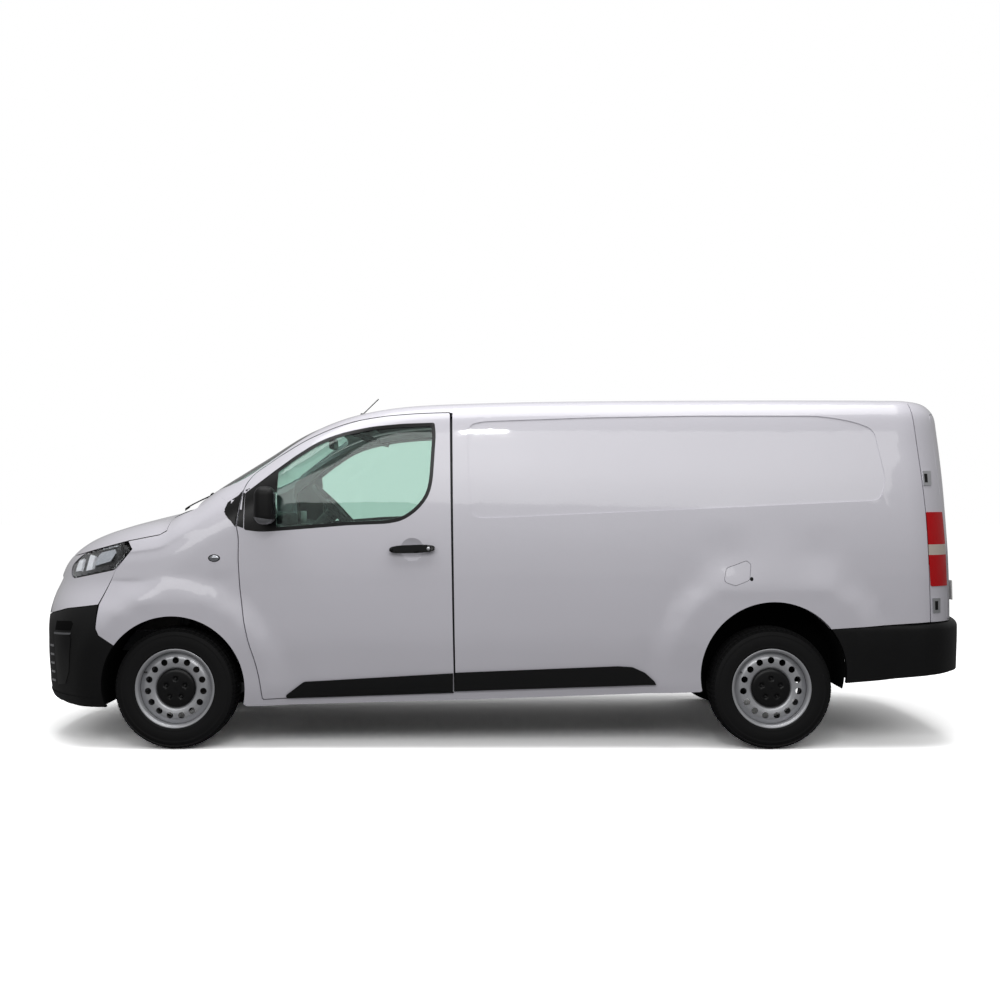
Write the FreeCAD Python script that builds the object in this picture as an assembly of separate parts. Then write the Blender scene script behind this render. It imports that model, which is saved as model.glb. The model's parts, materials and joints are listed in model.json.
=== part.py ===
import FreeCAD, Part
import math
import os

os.makedirs("parts", exist_ok=True)
V = FreeCAD.Vector
ACROSS = V(0, 1, 0)
UP = V(0, 0, 1)

# Driving sizes in millimetres: +X to the rear, +Y to the vehicle's right, +Z up from the road.
# The origin lies halfway along the body, midway between its sides, on the road.
WHEELBASE = 3275.0
FRONT_OVERHANG = 881.0
REAR_OVERHANG = 1153.0
BODY_HEIGHT = 1958.0
HALF_WIDTH = 960.0
TRACK = 1614.0
GAP = 5.0
SEAT_GAP = 0.3
OVERRUN = 60.0
FINE_STEP = 0.5

# body shell
LOW_EDGE = 200.0
WALL = 62.0
FENDER_SKIN = 8.0
BONNET_DEPTH = 30.0
BUMPER_SKIN = 34.0
CANT_RADIUS = 92.0
CORNER_MARGIN = 7.0
CROWN_POWER = 2.2
NOSE_LOW_SWEEP = 550.0
NOSE_HIGH_SWEEP = 900.0
TAIL_CORNER = 300.0
TAIL_POWER = 5.0
REAR_DOOR = 58.0
RECESS_DEPTH = 4.5
ROOF_SEAM = 742.0

# wheels and their arches
TYRE_RADIUS = 335.0
WHEEL_OFFSET = 46.0
FRONT_ARCH_RADIUS = 392.0
REAR_ARCH_RADIUS = 398.0
FRONT_ARCH_RISE = 12.0
REAR_ARCH_RISE = 83.0
LINER = 5.0
FLARE_DEPTH = 24.0
FRONT_FLARE_RADIUS = 640.0
REAR_FLARE_RADIUS = 690.0
FLARE_SOFT = 140.0

# rear bumper
BUMPER_CORNER = 330.0
BUMPER_POWER = 3.4
BUMPER_ROUND = 40.0
BUMPER_PROUD = 3.0

# glass and trim
GLASS_IN = 5.0
GLASS = 5.0
FRAME_STRIP = 20.0
MOULDING = 14.0

# rounding of outlines
TIGHT = 12.0
ROUND = 45.0
SWEEP = 900.0

BODY_LENGTH = FRONT_OVERHANG + WHEELBASE + REAR_OVERHANG
NOSE_X = -BODY_LENGTH / 2
TAIL_X = BODY_LENGTH / 2
FRONT_AXLE_X = NOSE_X + FRONT_OVERHANG
REAR_AXLE_X = FRONT_AXLE_X + WHEELBASE
WHEEL_Y = TRACK / 2


def at(station):
    """A place along the body: -1 is the nose, 0 the front axle, 1 the rear axle, 2 the tail."""
    if station < 0:
        return FRONT_AXLE_X + station * FRONT_OVERHANG
    if station <= 1:
        return FRONT_AXLE_X + station * WHEELBASE
    return REAR_AXLE_X + (station - 1) * REAR_OVERHANG


def station_of(x):
    if x < FRONT_AXLE_X:
        return (x - FRONT_AXLE_X) / FRONT_OVERHANG
    if x <= REAR_AXLE_X:
        return (x - FRONT_AXLE_X) / WHEELBASE
    return 1 + (x - REAR_AXLE_X) / REAR_OVERHANG


def up(share):
    return share * BODY_HEIGHT


def out(share):
    return share * HALF_WIDTH


def spread(first, last, count):
    return [first + (last - first) * i / (count - 1) for i in range(count)]


def soft_step(value):
    value = min(max(value, 0.0), 1.0)
    return value * value * (3 - 2 * value)


def smooth_curve(points):
    """A smooth function through a few points, its slope at each taken from the neighbours."""
    last = len(points) - 1
    slopes = []
    for i in range(last + 1):
        before, after = points[max(i - 1, 0)], points[min(i + 1, last)]
        slopes.append((after[1] - before[1]) / (after[0] - before[0]))

    def value(t):
        if t <= points[0][0]:
            return points[0][1]
        if t >= points[last][0]:
            return points[last][1]
        i = 0
        while points[i + 1][0] < t:
            i += 1
        (t0, v0), (t1, v1) = points[i], points[i + 1]
        step = t1 - t0
        s = (t - t0) / step
        return (v0 * (1 + 2 * s) * (1 - s) ** 2 + slopes[i] * step * s * (1 - s) ** 2
                + v1 * s * s * (3 - 2 * s) - slopes[i + 1] * step * s * s * (1 - s))
    return value


# The body's form. Each pair is (height share, half-width share) amidships.
side_shares = ((0.10, 0.925), (0.16, 0.958), (0.23, 0.977), (0.306, 0.995), (0.385, 1.0),
               (0.46, 0.999), (0.54, 0.995), (0.613, 0.985), (0.69, 0.967), (0.766, 0.941),
               (0.92, 0.868), (1.0, 0.825))
# (station, height share) of the top along the centre line
top_shares = ((-1.0, 0.503), (-0.923, 0.532), (-0.761, 0.5746), (-0.649, 0.595), (-0.459, 0.624),
              (-0.255, 0.6486), (-0.087, 0.669), (0.0, 0.694), (0.0676, 0.766), (0.1446, 0.848),
              (0.199, 0.902), (0.2515, 0.940), (0.288, 0.959), (0.338, 0.9745), (0.403, 0.985),
              (0.4746, 0.990), (0.63, 0.996), (0.90, 0.9995), (1.17, 1.0), (1.635, 0.9985),
              (1.779, 0.993), (2.0, 0.980))
# (station, height share) by which the top has fallen at the body side
crown_shares = ((-1.0, 0.046), (-0.459, 0.0485), (-0.087, 0.052), (0.0, 0.056), (0.0676, 0.060),
                (0.1446, 0.066), (0.199, 0.056), (0.288, 0.0434), (0.338, 0.037), (0.403, 0.034),
                (0.4746, 0.032), (0.63, 0.031), (2.0, 0.031))
# (height share, share of the front overhang) by which the nose lies behind its foremost point
nose_shares = ((0.10, 0.051), (0.123, 0.028), (0.153, 0.007), (0.306, 0.0), (0.403, 0.0),
               (0.434, 0.006), (0.482, 0.025), (0.532, 0.075), (0.562, 0.125), (0.613, 0.26),
               (0.664, 0.443), (0.715, 0.636), (0.817, 0.988), (0.919, 1.328), (1.0, 1.59))
# (height share, share of the rear overhang) by which the tail lies ahead of the bumper's end
tail_shares = ((0.10, 0.065), (0.36, 0.065), (0.506, 0.070), (0.664, 0.082), (0.817, 0.095),
               (0.95, 0.112), (1.0, 0.125))
# (station, share of the cant rail's radius) of the corner between side and top
radius_shares = ((-1.0, 0.78), (-0.3, 1.05), (0.0, 1.05), (0.07, 0.92), (0.15, 0.85), (0.25, 0.9),
                 (0.34, 1.0), (2.0, 1.0))
# (height share, how far the plan outline of the nose has changed from low to high)
sweep_shares = ((0.10, 0.0), (0.357, 0.0), (0.482, 1.0), (1.0, 1.0))
low_power_share = 2.6
high_power_share = 2.0
bulge_slope_share = 0.5

side_curve = smooth_curve(side_shares)
top_curve = smooth_curve(top_shares)
crown_curve = smooth_curve(crown_shares)
nose_curve = smooth_curve(nose_shares)
tail_curve = smooth_curve(tail_shares)
radius_curve = smooth_curve(radius_shares)
sweep_curve = smooth_curve(sweep_shares)


def flare(x, z):
    """How far the soft wheel flares stand out at a place on the side."""
    front = FRONT_FLARE_RADIUS - math.hypot(x - FRONT_AXLE_X, z - TYRE_RADIUS)
    rear = REAR_FLARE_RADIUS - math.hypot(x - REAR_AXLE_X, z - TYRE_RADIUS - REAR_ARCH_RISE)
    return FLARE_DEPTH * soft_step(max(front, rear) / FLARE_SOFT)


def round_in(wall, top, radius):
    """Depth inside a corner of the given radius between a wall and a top."""
    if wall < radius and top < radius:
        return radius - math.hypot(radius - wall, radius - top)
    return min(wall, top)


def wall_depth(x, y, z, tail_x, corner, corner_power):
    """Depth inside the side, nose or tail at a place, negative outside."""
    share = z / BODY_HEIGHT
    half = HALF_WIDTH * side_curve(share) + flare(x, z)
    change = sweep_curve(share)
    sweep = NOSE_LOW_SWEEP + (NOSE_HIGH_SWEEP - NOSE_LOW_SWEEP) * change
    front_end = NOSE_X + FRONT_OVERHANG * nose_curve(share) + sweep
    rear_end = tail_x - corner
    if x < front_end:
        along, length = front_end - x, sweep
        power = low_power_share + (high_power_share - low_power_share) * change
    elif x > rear_end:
        along, length, power = x - rear_end, corner, corner_power
    else:
        return half - abs(y)
    across = abs(y) / half
    filled = (along / length) ** 2 + across ** power
    slope = math.hypot(2 * along / length ** 2, power * across ** (power - 1) / half)
    return (1 - filled) / max(slope, bulge_slope_share / half)


def body_depth(x, y, z):
    station = station_of(x)
    tail_x = TAIL_X - REAR_OVERHANG * tail_curve(z / BODY_HEIGHT)
    wall = wall_depth(x, y, z, tail_x, TAIL_CORNER, TAIL_POWER)
    fallen = crown_curve(station) * (abs(y) / HALF_WIDTH) ** CROWN_POWER
    top = BODY_HEIGHT * (top_curve(station) - fallen) - z
    return round_in(wall, top, CANT_RADIUS * radius_curve(station))


bumper_low_share = 0.185
bumper_top_share = 0.3585


def rear_bumper_depth(x, y, z):
    wall = wall_depth(x, y, z, TAIL_X - BUMPER_PROUD, BUMPER_CORNER, BUMPER_POWER)
    return round_in(wall + BUMPER_PROUD, up(bumper_top_share) - z, BUMPER_ROUND)


def leave(depth, inset, start, direction):
    """The place where a ray from inside reaches a surface at the given depth in the body."""
    near, far = 0.0, BODY_LENGTH
    for _ in range(40):
        middle = (near + far) / 2
        place = start + direction * middle
        if depth(place.x, place.y, place.z) > inset:
            near = middle
        else:
            far = middle
    return start + direction * near


def shared_places(lines):
    """Parameters for points on lines of one kind: the mean distance from point to point."""
    places = [0.0]
    for i in range(1, len(lines[0])):
        step = sum((line[i] - line[i - 1]).Length for line in lines) / len(lines)
        places.append(places[-1] + step)
    return places


def curve_through(points, places):
    curve = Part.BSplineCurve()
    curve.interpolate(Points=list(points), Parameters=places)
    return curve


def skin_surface(rows):
    """One smooth surface exactly through every point of a grid."""
    columns = list(zip(*rows))
    v_places, u_places = shared_places(rows), shared_places(columns)
    row_curves = [curve_through(row, v_places) for row in rows]
    row_poles = list(zip(*[curve.getPoles() for curve in row_curves]))
    cross_curves = [curve_through(line, u_places) for line in row_poles]
    poles = [list(line) for line in zip(*[curve.getPoles() for curve in cross_curves])]
    u_curve, v_curve = cross_curves[0], row_curves[0]
    surface = Part.BSplineSurface()
    surface.buildFromPolesMultsKnots(poles, u_curve.getMultiplicities(), v_curve.getMultiplicities(),
                                     u_curve.getKnots(), v_curve.getKnots(), False, False,
                                     u_curve.Degree, v_curve.Degree)
    return surface


def skin_solid(rows):
    """A solid under one smooth skin. Each row ends in one flat back, and the outer rows are flat."""
    surface = skin_surface(rows)
    u0, u1, v0, v1 = surface.bounds()
    first, last = surface.uIso(u0).toShape(), surface.uIso(u1).toShape()
    left, right = surface.vIso(v0).toShape(), surface.vIso(v1).toShape()
    near = Part.makeLine(rows[0][0], rows[0][-1])
    far = Part.makeLine(rows[-1][0], rows[-1][-1])
    back = Part.Wire(Part.__sortEdges__([left, far, right, near]))
    faces = [surface.toShape(), Part.Face(Part.Wire([first, near])),
             Part.Face(Part.Wire([last, far])), Part.Face(back)]
    skin = Part.makeCompound(faces)
    skin.sewShape()
    solid = Part.Solid(skin.Shells[0])
    if solid.Volume < 0:
        solid.reverse()
    return solid


SIDE_ROWS = 11
UPPER_ROWS = 7
CORNER_ROWS = 5
TOP_ROWS = 7
middle_height_share = 0.46
edge_start_share = 0.9


def body_section(x, inset):
    """A section of the body across X, from the left sill over the roof to the right sill."""
    station = station_of(x)
    radius = CANT_RADIUS * radius_curve(station)
    edge = out(edge_start_share)
    for _ in range(CORNER_ROWS):
        fallen = crown_curve(station) * (edge / HALF_WIDTH) ** CROWN_POWER
        height = BODY_HEIGHT * (top_curve(station) - fallen) - radius
        edge = leave(body_depth, 0, V(x, 0, height), ACROSS).y - radius
    edge = min(edge, leave(body_depth, inset + CORNER_MARGIN, V(x, 0, height), ACROSS).y)
    levels = spread(LOW_EDGE, up(middle_height_share), SIDE_ROWS)
    levels += spread(up(middle_height_share), height, UPPER_ROWS)[1:]
    half = [leave(body_depth, inset, V(x, 0, level), ACROSS) for level in levels]
    for turn in spread(0, math.pi / 2, CORNER_ROWS + 1)[1:-1]:
        ray = V(0, math.cos(turn), math.sin(turn))
        half.append(leave(body_depth, inset, V(x, edge, height), ray))
    half += [leave(body_depth, inset, V(x, y, height), UP) for y in spread(edge, 0, TOP_ROWS)]
    return [V(p.x, -p.y, p.z) for p in half] + half[-2::-1]


tube_stations = (spread(-0.78, 0.0, 12) + spread(0.0, 0.22, 10)[1:] + spread(0.22, 0.77, 9)[1:]
                 + spread(0.77, 1.0, 11)[1:] + spread(1.0, 1.66, 10)[1:])
nose_end_shares = (-0.902, -0.88, -0.85, -0.82)
tail_end_shares = (1.72, 1.78, 1.82, 1.85)
tail_stop_share = 1.87
end_room_share = 1.9


bodies_made = {}


def body_at(inset):
    """The whole body between nose and tail, with every wall set in by the same depth."""
    if inset in bodies_made:
        return bodies_made[inset]
    room = end_room_share * max(inset, 0) / REAR_OVERHANG
    tail = [s for s in tail_end_shares if s < tail_stop_share - room] + [tail_stop_share - room]
    nose_room = end_room_share * max(inset, 0) / FRONT_OVERHANG
    nose = nose_end_shares[0] + nose_room
    middle = [s for s in nose_end_shares + tuple(tube_stations) if s > nose + GAP / FRONT_OVERHANG]
    bodies_made[inset] = skin_solid([body_section(at(s), inset) for s in [nose] + middle + tail])
    return bodies_made[inset]


def layer(field, outer, inner_depth):
    """What lies inside a field, between two depths under the body's skin."""
    return field.common(body_at(outer)).cut(body_at(inner_depth))


def plan_row(depth, inset, start_x, z, direction, count):
    """A line around the nose or the tail at one height, from the left side to the right."""
    row = []
    for turn in spread(-math.pi / 2, math.pi / 2, count):
        ray = V(direction * math.cos(turn), math.sin(turn), 0)
        if abs(turn) > math.pi / 2 - FINE_STEP / BODY_LENGTH:
            ray = V(0, math.copysign(1, turn), 0)
        row.append(leave(depth, inset, V(start_x, 0, z), ray))
    return row


nose_level_shares = (0.102, 0.125, 0.153, 0.19, 0.23, 0.27, 0.31, 0.35, 0.39, 0.42, 0.45, 0.48, 0.51,
                     0.53, 0.55, 0.565, 0.58, 0.593)
tail_level_shares = (0.33, 0.40, 0.47, 0.54, 0.61, 0.68, 0.75, 0.82, 0.87, 0.91, 0.94, 0.965)
bumper_level_shares = (0.0, 0.2, 0.4, 0.6, 0.75, 0.82, 0.88, 0.93, 0.965, 0.985)
NOSE_RAYS = 45
TAIL_RAYS = 53
nose_start_share = 0.007
tail_start_share = 1.56
bumper_start_share = 1.08


def nose_at(inset):
    rows = [plan_row(body_depth, inset, at(nose_start_share), up(share), -1, NOSE_RAYS)
            for share in nose_level_shares]
    return skin_solid(rows)


def tail_at(inset):
    start = at(tail_start_share)
    rows = [plan_row(body_depth, inset, start, up(share), 1, TAIL_RAYS)
            for share in tail_level_shares if body_depth(start, 0, up(share)) > inset + CORNER_MARGIN]
    return skin_solid(rows)


def bumper_at(inset):
    low, high = up(bumper_low_share), up(bumper_top_share) - inset
    rows = [plan_row(rear_bumper_depth, inset, at(bumper_start_share), low + (high - low) * share, 1,
                     TAIL_RAYS) for share in bumper_level_shares]
    return skin_solid(rows)


def fillet_outline(points, radii, grow):
    """A closed flat outline of lines and arcs, moved outwards by grow. Points are (a, b) pairs."""
    count = len(points)
    area = sum(points[i - 1][0] * points[i][1] - points[i][0] * points[i - 1][1]
               for i in range(count))
    side = 1 if area > 0 else -1
    moved = []
    for i in range(count):
        before, here, after = points[i - 1], points[i], points[(i + 1) % count]
        first = V(here[0] - before[0], here[1] - before[1], 0)
        second = V(after[0] - here[0], after[1] - here[1], 0)
        first.normalize()
        second.normalize()
        normal = V(first.y + second.y, -first.x - second.x, 0) * side
        normal.normalize()
        lean = normal.dot(V(first.y, -first.x, 0) * side)
        moved.append(V(here[0], here[1], 0) + normal * (grow / lean))
    starts, ends, middles = [], [], []
    for i in range(count):
        before, here, after = moved[i - 1], moved[i], moved[(i + 1) % count]
        back, ahead = before - here, after - here
        room = min(back.Length, ahead.Length) * 0.49
        back.normalize()
        ahead.normalize()
        half_turn = (math.pi - back.getAngle(ahead)) / 2
        tangent = min(radii[i] * math.tan(half_turn), room)
        radius = tangent / math.tan(half_turn)
        bisector = back + ahead
        bisector.normalize()
        starts.append(here + back * tangent)
        ends.append(here + ahead * tangent)
        middles.append(here + bisector * (radius / math.cos(half_turn) - radius))
    return starts, middles, ends


def outline_prism(points, radii, grow, place, sweep):
    """A prism on a rounded outline. place turns a flat pair into a point in the body."""
    if not isinstance(radii, (list, tuple)):
        radii = [radii] * len(points)
    starts, middles, ends = fillet_outline(points, radii, grow)
    edges = []
    for i in range(len(points)):
        start, middle, end = place(starts[i]), place(middles[i]), place(ends[i])
        if radii[i] > 0:
            edges.append(Part.Arc(start, middle, end).toShape())
        following = place(starts[(i + 1) % len(points)])
        if (following - end).Length > FINE_STEP / 100:
            edges.append(Part.makeLine(end, following))
    return Part.Face(Part.Wire(edges)).extrude(sweep)


def side_prism(shares, radii, y0, y1, grow=0.0):
    """A prism along Y on an outline of (station, height share) pairs."""
    points = [(at(s), up(h)) for s, h in shares]
    return outline_prism(points, radii, grow, lambda p: V(p.x, y0, p.y), V(0, y1 - y0, 0))


def rear_prism(points, radii, x0, x1, grow=0.0):
    """A prism along X on an outline of (y, z) pairs."""
    return outline_prism(points, radii, grow, lambda p: V(x0, p.x, p.y), V(x1 - x0, 0, 0))


def plan_prism(points, radii, z0, z1, grow=0.0):
    """A prism along Z on an outline of (x, y) pairs."""
    return outline_prism(points, radii, grow, lambda p: V(p.x, p.y, z0), V(0, 0, z1 - z0))


def box(x0, x1, y0, y1, z0, z1):
    return Part.makeBox(x1 - x0, y1 - y0, z1 - z0, V(x0, y0, z0))


def rod(start, end, radius):
    line = end - start
    return Part.makeCylinder(radius, line.Length, start, line)


def mirrored(shape):
    return shape.mirror(V(0, 0, 0), ACROSS)


def both(shape):
    return Part.makeCompound([shape, mirrored(shape)])


def largest(shape):
    """The main solid of a cut, without the slivers that a cut may leave."""
    return max(shape.Solids, key=lambda solid: solid.Volume)


def solids_over(shape, volume):
    kept = [solid for solid in shape.Solids if solid.Volume > volume]
    return kept[0] if len(kept) == 1 else Part.makeCompound(kept)


parts = {}
SIDE_REACH = HALF_WIDTH * 2

door_shares = ((0.1492, 0.1445), (0.1449, 0.2033), (0.1382, 0.2543), (0.1284, 0.3003), (0.1202, 0.3647),
               (0.1131, 0.4525), (0.1098, 0.5306), (0.1098, 0.5975), (0.1061, 0.6256), (0.114, 0.7283),
               (0.1186, 0.7497), (0.1287, 0.7737), (0.1666, 0.8197), (0.2124, 0.8687), (0.2612, 0.9045),
               (0.3003, 0.9244), (0.3528, 0.9377), (0.4053, 0.9443), (0.4594, 0.9474), (0.4679, 0.1624))
door_radii = [TIGHT] + [SWEEP] * 5 + [SWEEP, SWEEP, TIGHT, SWEEP] + [SWEEP] * 8 + [TIGHT, TIGHT]
window_shares = ((0.1183, 0.6164), (0.1171, 0.7191), (0.1669, 0.785), (0.1983, 0.8243),
                 (0.2368, 0.8662), (0.2759, 0.8902), (0.3278, 0.9076), (0.38, 0.9157), (0.434, 0.9188),
                 (0.4365, 0.8856), (0.4322, 0.7543), (0.4261, 0.7114), (0.4084, 0.6716),
                 (0.3827, 0.642), (0.3574, 0.6333), (0.2927, 0.6292), (0.198, 0.6164),
                 (0.1464, 0.6103))
window_radii = [TIGHT, TIGHT] + [SWEEP] * 6 + [TIGHT] + [SWEEP] * 9
glass_front_share = 0.1714
sail_shares = ((0.0829, 0.667), (0.1122, 0.7273), (0.104, 0.6241))

# Wheel arches, cut out of every panel that meets them.
arch_inner = out(0.66)
front_arch = rod(V(FRONT_AXLE_X, -SIDE_REACH, TYRE_RADIUS + FRONT_ARCH_RISE),
                 V(FRONT_AXLE_X, -arch_inner, TYRE_RADIUS + FRONT_ARCH_RISE), FRONT_ARCH_RADIUS)
rear_arch = rod(V(REAR_AXLE_X, -SIDE_REACH, TYRE_RADIUS + REAR_ARCH_RISE),
                V(REAR_AXLE_X, -arch_inner, TYRE_RADIUS + REAR_ARCH_RISE), REAR_ARCH_RADIUS)

DOOR_INNER_Y = 722.0
door_field = side_prism(door_shares, door_radii, -SIDE_REACH, -DOOR_INNER_Y)
door_opening = side_prism(door_shares, door_radii, -SIDE_REACH, -out(0.5), GAP)
window_cut = side_prism(window_shares, window_radii, -SIDE_REACH, -out(0.5))

# Front doors: one thick panel each, with the window cut through it.
cup_share = (0.3984, 0.5654)
CUP_HALF = 64.0
CUP_DEPTH = 16.0
cup_x, cup_z = at(cup_share[0]), up(cup_share[1])
cup_y = leave(body_depth, 0, V(cup_x, 0, cup_z), V(0, -1, 0)).y
cup_radius = (CUP_HALF ** 2 + CUP_DEPTH ** 2) / (2 * CUP_DEPTH)
cup = Part.makeSphere(cup_radius, V(cup_x, cup_y - cup_radius + CUP_DEPTH, cup_z))
door = largest(layer(door_field.cut(window_cut), 0, WALL).cut(cup))
parts["front_door_left"] = door
parts["front_door_right"] = mirrored(door)

# Window glass with its black strip all round.
behind_pillar = box(at(glass_front_share), at(1), -SIDE_REACH, 0, 0, BODY_HEIGHT)
behind_divider = box(at(glass_front_share) + SEAT_GAP, at(1), -SIDE_REACH, 0, 0, BODY_HEIGHT)
window_field = side_prism(window_shares, window_radii, -SIDE_REACH, -out(0.5), -SEAT_GAP)
pane_hole = side_prism(window_shares, window_radii, -SIDE_REACH, 0, -FRAME_STRIP).common(behind_pillar)
pane_field = side_prism(window_shares, window_radii, -SIDE_REACH, -out(0.5),
                        -FRAME_STRIP - SEAT_GAP).common(behind_divider)
window_frame = largest(layer(window_field.cut(pane_hole), FINE_STEP, FRAME_STRIP))
pane = largest(layer(pane_field, GLASS_IN, GLASS_IN + GLASS))
parts["window_left"] = pane
parts["window_right"] = mirrored(pane)

# Door handle, mirror and lower moulding.
HANDLE_REACH = 34.0
HANDLE_GRIP = 14.0
HANDLE_FOOT = 44.0
handle_shares = ((0.3614, 0.5526), (0.3614, 0.5751), (0.4362, 0.5751), (0.4362, 0.5526))
handle_field = side_prism(handle_shares, TIGHT, -SIDE_REACH, -out(0.9))
handle_x0, handle_x1 = at(handle_shares[0][0]), at(handle_shares[2][0])
grip_gap = box(handle_x0 + HANDLE_FOOT, handle_x1 - HANDLE_FOOT, -SIDE_REACH, 0, 0, BODY_HEIGHT)
under_grip = grip_gap.common(handle_field).common(body_at(-HANDLE_REACH + HANDLE_GRIP))
handle = largest(layer(handle_field, -HANDLE_REACH, -SEAT_GAP).cut(under_grip))

door_moulding_shares = ((0.18, 0.145), (0.2173, 0.1925), (0.4664, 0.2165), (0.4664, 0.1624))
side_moulding_shares = ((0.4703, 0.1655), (0.4703, 0.2181), (0.7418, 0.2365), (0.7656, 0.2339),
                        (0.7864, 0.2181), (0.8026, 0.1936), (0.8047, 0.1844))
door_moulding = largest(layer(side_prism(door_moulding_shares, [TIGHT, ROUND, 0, 0],
                                         -SIDE_REACH, -out(0.9)), -MOULDING, -SEAT_GAP))
side_moulding = largest(layer(side_prism(side_moulding_shares,
                                         [0, 0] + [ROUND] * 4 + [0],
                                         -SIDE_REACH, -out(0.9)), -MOULDING, -SEAT_GAP))

MIRROR_REACH = 1102.0
MIRROR_DEPTH = 118.0
MIRROR_HEIGHT = 206.0
MIRROR_WIDTH = 150.0
MIRROR_ROUND = 38.0
MIRROR_ARM = 46.0
mirror_share = (0.1585, 0.6849)
mirror_x, mirror_z = at(mirror_share[0]), up(mirror_share[1])
housing = box(mirror_x - MIRROR_DEPTH / 2, mirror_x + MIRROR_DEPTH / 2, -MIRROR_REACH,
              -MIRROR_REACH + MIRROR_WIDTH, mirror_z - MIRROR_HEIGHT / 2,
              mirror_z + MIRROR_HEIGHT / 2)
housing = housing.makeFillet(MIRROR_ROUND, housing.Edges)
arm_z = mirror_z - MIRROR_HEIGHT / 2 + MIRROR_ARM
arm = box(mirror_x - MIRROR_ARM, mirror_x + MIRROR_ARM / 2, -MIRROR_REACH + MIRROR_WIDTH / 2,
          -out(0.94), arm_z - MIRROR_ARM / 2, arm_z + MIRROR_ARM / 2)
mirror = largest(housing.fuse(arm).cut(body_at(-SEAT_GAP)))
door_trim = Part.makeCompound([window_frame, handle, door_moulding, mirror])
parts["door_trim_left"] = door_trim
parts["door_trim_right"] = mirrored(door_trim)

# Side panels behind the doors, from sill to roof seam.
panel_shares = ((0.4626, 1.1), (1.6734, 1.1), (1.7264, 0.6665), (1.7368, 0.4852), (1.7415, 0.3600),
                (1.2702, 0.3418), (1.18, 0.30), (0.8777, 0.1645), (0.5113, 0.142), (0.4710, 0.1396))
side_field = side_prism(panel_shares, 0, -SIDE_REACH, -ROOF_SEAM)
recess_shares = ((0.4908, 0.8018), (0.4899, 0.8912), (0.4957, 0.9142), (0.5162, 0.9224),
                 (0.6942, 0.9331), (0.8811, 0.9387), (1.2294, 0.9382), (1.317, 0.9316),
                 (1.4063, 0.9213), (1.4775, 0.9055), (1.5035, 0.8897), (1.5425, 0.7589),
                 (1.5191, 0.7079), (1.4835, 0.6977), (0.8789, 0.6752), (0.5547, 0.6512),
                 (0.5137, 0.6486), (0.4997, 0.6553), (0.4957, 0.6767))
recess = side_prism(recess_shares, SWEEP, -SIDE_REACH, -ROOF_SEAM + OVERRUN).cut(body_at(RECESS_DEPTH))
flap_shares = ((0.9165, 0.4724), (0.9211, 0.5097), (0.9544, 0.5301), (0.9611, 0.5209),
               (0.9586, 0.4775), (0.9354, 0.4622))
flap_radii = [ROUND / 2, ROUND / 2, TIGHT, TIGHT, ROUND / 2, ROUND / 2]
FLAP_DEPTH = 10.0
FLAP_GAP = 2.5
side = layer(side_field, 0, WALL).cut(rear_arch).cut(recess)
flap_pocket = side_prism(flap_shares, flap_radii, -SIDE_REACH, -out(0.9), FLAP_GAP)
left_side = largest(side.cut(flap_pocket.cut(body_at(FLAP_DEPTH + SEAT_GAP))))
flap = largest(layer(side_prism(flap_shares, flap_radii, -SIDE_REACH, -out(0.9)), 0, FLAP_DEPTH))
parts["side_panel_left"] = left_side
parts["fuel_flap"] = flap

# The sliding door fills the front of the right side; it rides in a rail under the recess.
sliding_shares = ((0.4710, 0.1500), (0.4626, 0.9474), (0.7530, 0.9474), (0.7640, 0.9300),
                  (0.7640, 0.40), (0.7400, 0.30), (0.7200, 0.1600))
sliding_radii = [0, TIGHT, ROUND, SWEEP, SWEEP, SWEEP, TIGHT]
rail_shares = ((0.7700, 0.6000), (0.7700, 0.6190), (1.6600, 0.6380), (1.6600, 0.6190))
RAIL_DEPTH = 24.0
sliding_field = side_prism(sliding_shares, sliding_radii, -SIDE_REACH, -out(0.5), -GAP)
sliding_opening = side_prism(sliding_shares, sliding_radii, -SIDE_REACH, 0)
rail_slot = side_prism(rail_shares, 0, -SIDE_REACH, 0).cut(body_at(RAIL_DEPTH))
parts["side_panel_right"] = mirrored(largest(side.cut(sliding_opening).cut(rail_slot)))
parts["sliding_door"] = mirrored(largest(layer(sliding_field, 0, WALL).cut(recess)))

# Roof skin between the seams, from the windscreen header to the rear doors.
roof_front_share = 0.262
roof_shares = ((roof_front_share, 0.90), (roof_front_share, 1.1), (1.6767, 1.1), (1.7012, 0.90))
roof_field = side_prism(roof_shares, 0, -ROOF_SEAM + SEAT_GAP, ROOF_SEAM - SEAT_GAP)
sliding_top = side_prism(sliding_shares, sliding_radii, -SIDE_REACH, -out(0.5))
roof_field = roof_field.cut(door_opening).cut(mirrored(door_opening)).cut(mirrored(sliding_top))
parts["roof_panel"] = largest(layer(roof_field, 0, WALL))

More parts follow.
